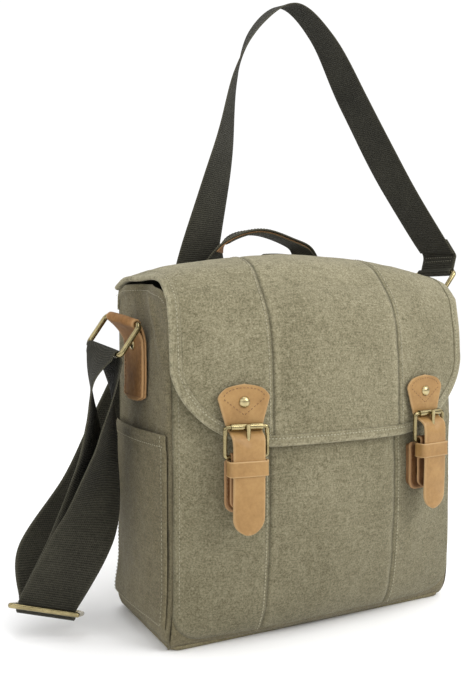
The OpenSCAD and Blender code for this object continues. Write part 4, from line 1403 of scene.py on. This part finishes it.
def side_tab(side, side_name, bar, bar_frame, low, seed):
    """leather strip folded over a ring's bar and sewn flat on the gusset, down to z = low"""
    across = np.linspace(-1, 1, 21) * TAB_HALF
    outer_top, inner_top = bar[2] - 9, bar[2] - 8
    t = np.linspace(0, 1, 16)[:, None]
    outer_leg = xyz(side * (157.0 - 0.9 * np.sin(math.pi * t)), bar[1] + across,
                    low + (outer_top - low) * t)
    angles = np.radians(np.linspace(-60, 200, 40))[:, None]
    local = xyz(side * 3.4 * np.cos(angles), across, 3.4 * np.sin(angles))
    fold = bar + local @ bar_frame.T
    t = np.linspace(0, 1, 18)[:, None]
    inner_leg = xyz(side * (154.4 - 0.6 * np.sin(math.pi * t)), bar[1] + across,
                    inner_top - (inner_top - low) * t)
    grid = np.concatenate([outer_leg, fold, inner_leg])
    for _ in range(7):
        relax(grid, 14, -14, side=0.25)
    # keep the fold round the bar
    grid[20:52] = grid[20:52] * 0.25 + fold[4:-4] * 0.75
    # narrow both ends a little
    length = arc(grid[:, 10])
    from_end = np.minimum(length, length[-1] - length)
    narrowing = np.sqrt(np.clip(1 - np.clip(1 - from_end / 5, 0, 1) ** 3, 0.02, 1)) ** 0.4
    row = np.arange(len(grid))
    narrowing[np.minimum(row, len(grid) - 1 - row) >= 10] = 1
    grid[..., 1] = bar[1] + (grid[..., 1] - bar[1]) * narrowing[:, None]
    name = "side_tab_" + side_name
    # painted shade under the roll of the fold, on the darker shaded copy of the leather
    fix(sheet(name + "_leather", grid, 1.15, -1.15, LEATHER_TAB_SHADED, flip=side > 0,
              swell=0.35 * rumple(grid[..., 1], grid[..., 2], 12, seed), wear=0.95,
              wear_width=1.6, roll=(0.2, 1.2), painted_shade=0.5 * bell(row - 18, 2.5)[:, None]), name)

    stitch_half = TAB_HALF - 3.2
    z = np.linspace(low + 4, bar[2] - 14, 40)
    x = side * (158.15 - 0.9 * np.sin(np.pi * (z - low) / (outer_top - low)))
    for y in (-stitch_half, stitch_half):
        seam("root_l", xyz(x, bar[1] + y, z), (side, 0, 0))
    y = bar[1] + np.linspace(-stitch_half, stitch_half, 16)
    seam("root_l", xyz(side * 157.9, y, low + 4), (side, 0, 0))


def tab_rivet(side, side_name, z):
    profile = [(TAB_RIVET_RADIUS * r, TAB_RIVET_HEIGHT * h) for r, h in TAB_RIVET]
    return rivet("tab_rivet_" + side_name, profile, TAB_RIVET_HEIGHT,
                 lambda v: xyz(side * (157.6 + v[:, 2]), -1.0 - side * v[:, 0], z - v[:, 1]))


side_tab(-1, "left", TAB_BAR_LEFT, LEFT_FRAME, low=207.0, seed=61)
side_tab(1, "right", TAB_BAR_RIGHT, np.eye(3), low=230.0, seed=63)
fix(tab_rivet(-1, "left", z=256.0), "side_tab_rivets")
fix(tab_rivet(1, "right", z=278.0))

# ------------------------------------------------------------------ threads and body
# group: material, CAD body it moves with (None leaves it unattached with its transform baked)
THREADS = {
    "root": (THREAD, "root"), "root_d": (THREAD_DARK, "root"), "root_l": (THREAD_LEATHER, "root"),
    "root_w": (THREAD_WEBBING, "root"), "ring_right": (THREAD_WEBBING, "ring_right"),
    "leather": (THREAD_LEATHER, "flap_front"), "handle": (THREAD_WEBBING, "handle"),
    "flap": (THREAD_DARK, None), "flap_l": (THREAD, None)}
for group, (vertices, faces) in stitches.items():
    material, body = THREADS[group]
    piece = put("stitches_" + group, vertices, faces, material, np.zeros((len(vertices), 2)))
    if body is None:
        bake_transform(piece)
    else:
        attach(piece, body)
for piece in root_pieces:
    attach(piece, "root")


# ------------------------------------------------------------------ CAD hardware
def finish_hardware():
    """the CAD hardware keeps its shape and gets its finish"""
    metal_names = ("ring_", "roller_", "prong_", "buckle_", "snap", "slider", "rivet")
    for name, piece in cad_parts.items():
        lower = name.lower()
        if any(key in lower for key in metal_names):
            material = BRASS_RIVET if "rivet" in lower else BRASS
        elif lower == "base_board":
            material = BOARD
        else:
            continue
        if not piece.material_slots:
            piece.data.materials.append(material)
        for slot in piece.material_slots:
            slot.material = material


finish_hardware()


# ------------------------------------------------------------------ stage (metres)
def add_floor():
    bpy.ops.mesh.primitive_plane_add(size=120, location=(0, 1.5, -0.0006))
    floor = bpy.context.object
    floor.name = "floor"
    material, nodes = new_material("floor_pale")
    nodes.surface({"Base Color": (0.965, 0.965, 0.965, 1), "Roughness": 1.0,
                   "Specular IOR Level": 0.0})
    floor.data.materials.append(material)


def add_world():
    """even white light; glossy rays see a dark surround with a bright band overhead"""
    world = bpy.data.worlds.new("studio")
    bpy.context.scene.world = world
    world.use_nodes = True
    nodes = Nodes(world.node_tree)
    plain = world.node_tree.nodes["Background"]
    plain.inputs["Color"].default_value = (1, 1, 1, 1)
    plain.inputs["Strength"].default_value = 1.05
    reflected = nodes.node("ShaderNodeBackground")
    direction = nodes.separate(nodes.node("ShaderNodeTexCoord").outputs["Generated"])
    height = nodes.math("MULTIPLY_ADD", direction[2], 0.5, 0.5)     # -1..1 to 0..1
    # height, brightness
    glow = nodes.ramp(height, (0.30, 0.30), (0.50, 0.10), (0.60, 0.16), (0.72, 1.5),
                      (0.80, 1.7), (0.90, 0.45))
    nodes.feed(glow, reflected.inputs[0])
    rays = nodes.node("ShaderNodeLightPath")
    mix = nodes.node("ShaderNodeMixShader")
    nodes.feed(rays.outputs["Is Glossy Ray"], mix.inputs[0])
    nodes.feed(plain.outputs[0], mix.inputs[1])
    nodes.feed(reflected.outputs[0], mix.inputs[2])
    nodes.feed(mix.outputs[0], world.node_tree.nodes["World Output"].inputs[0])


def add_area_light(name, location, size, power):
    light = bpy.data.lights.new(name, "AREA")
    light.shape = "RECTANGLE"
    light.size = light.size_y = size
    light.energy = power
    lamp = bpy.data.objects.new(name, light)
    lamp.location = location
    aim = Vector((0, 0, 0.2)) - Vector(location)
    lamp.rotation_euler = aim.to_track_quat("-Z", "Y").to_euler()
    bpy.context.scene.collection.objects.link(lamp)


def add_camera():
    lens = bpy.data.cameras.new("camera")
    lens.sensor_width = 36
    lens.lens = 42.34
    camera = bpy.data.objects.new("camera", lens)
    bpy.context.scene.collection.objects.link(camera)
    camera.location = (-0.3969, -0.6676, 0.2912)
    forward = Vector((0.4568, 0.8884, -0.0451))
    camera.rotation_euler = forward.to_track_quat("-Z", "Y").to_euler()
    bpy.context.scene.camera = camera


add_floor()
add_world()
add_area_light("key", location=(0.75, -1.25, 1.15), size=0.9, power=15)
add_area_light("top", location=(0.1, -0.1, 1.7), size=1.2, power=9)
add_area_light("fill", location=(-1.3, -0.9, 0.5), size=1.0, power=2.2)
add_camera()
# a colour configuration may lack the Standard view
try:
    bpy.context.scene.view_settings.view_transform = "Standard"
except TypeError:
    pass
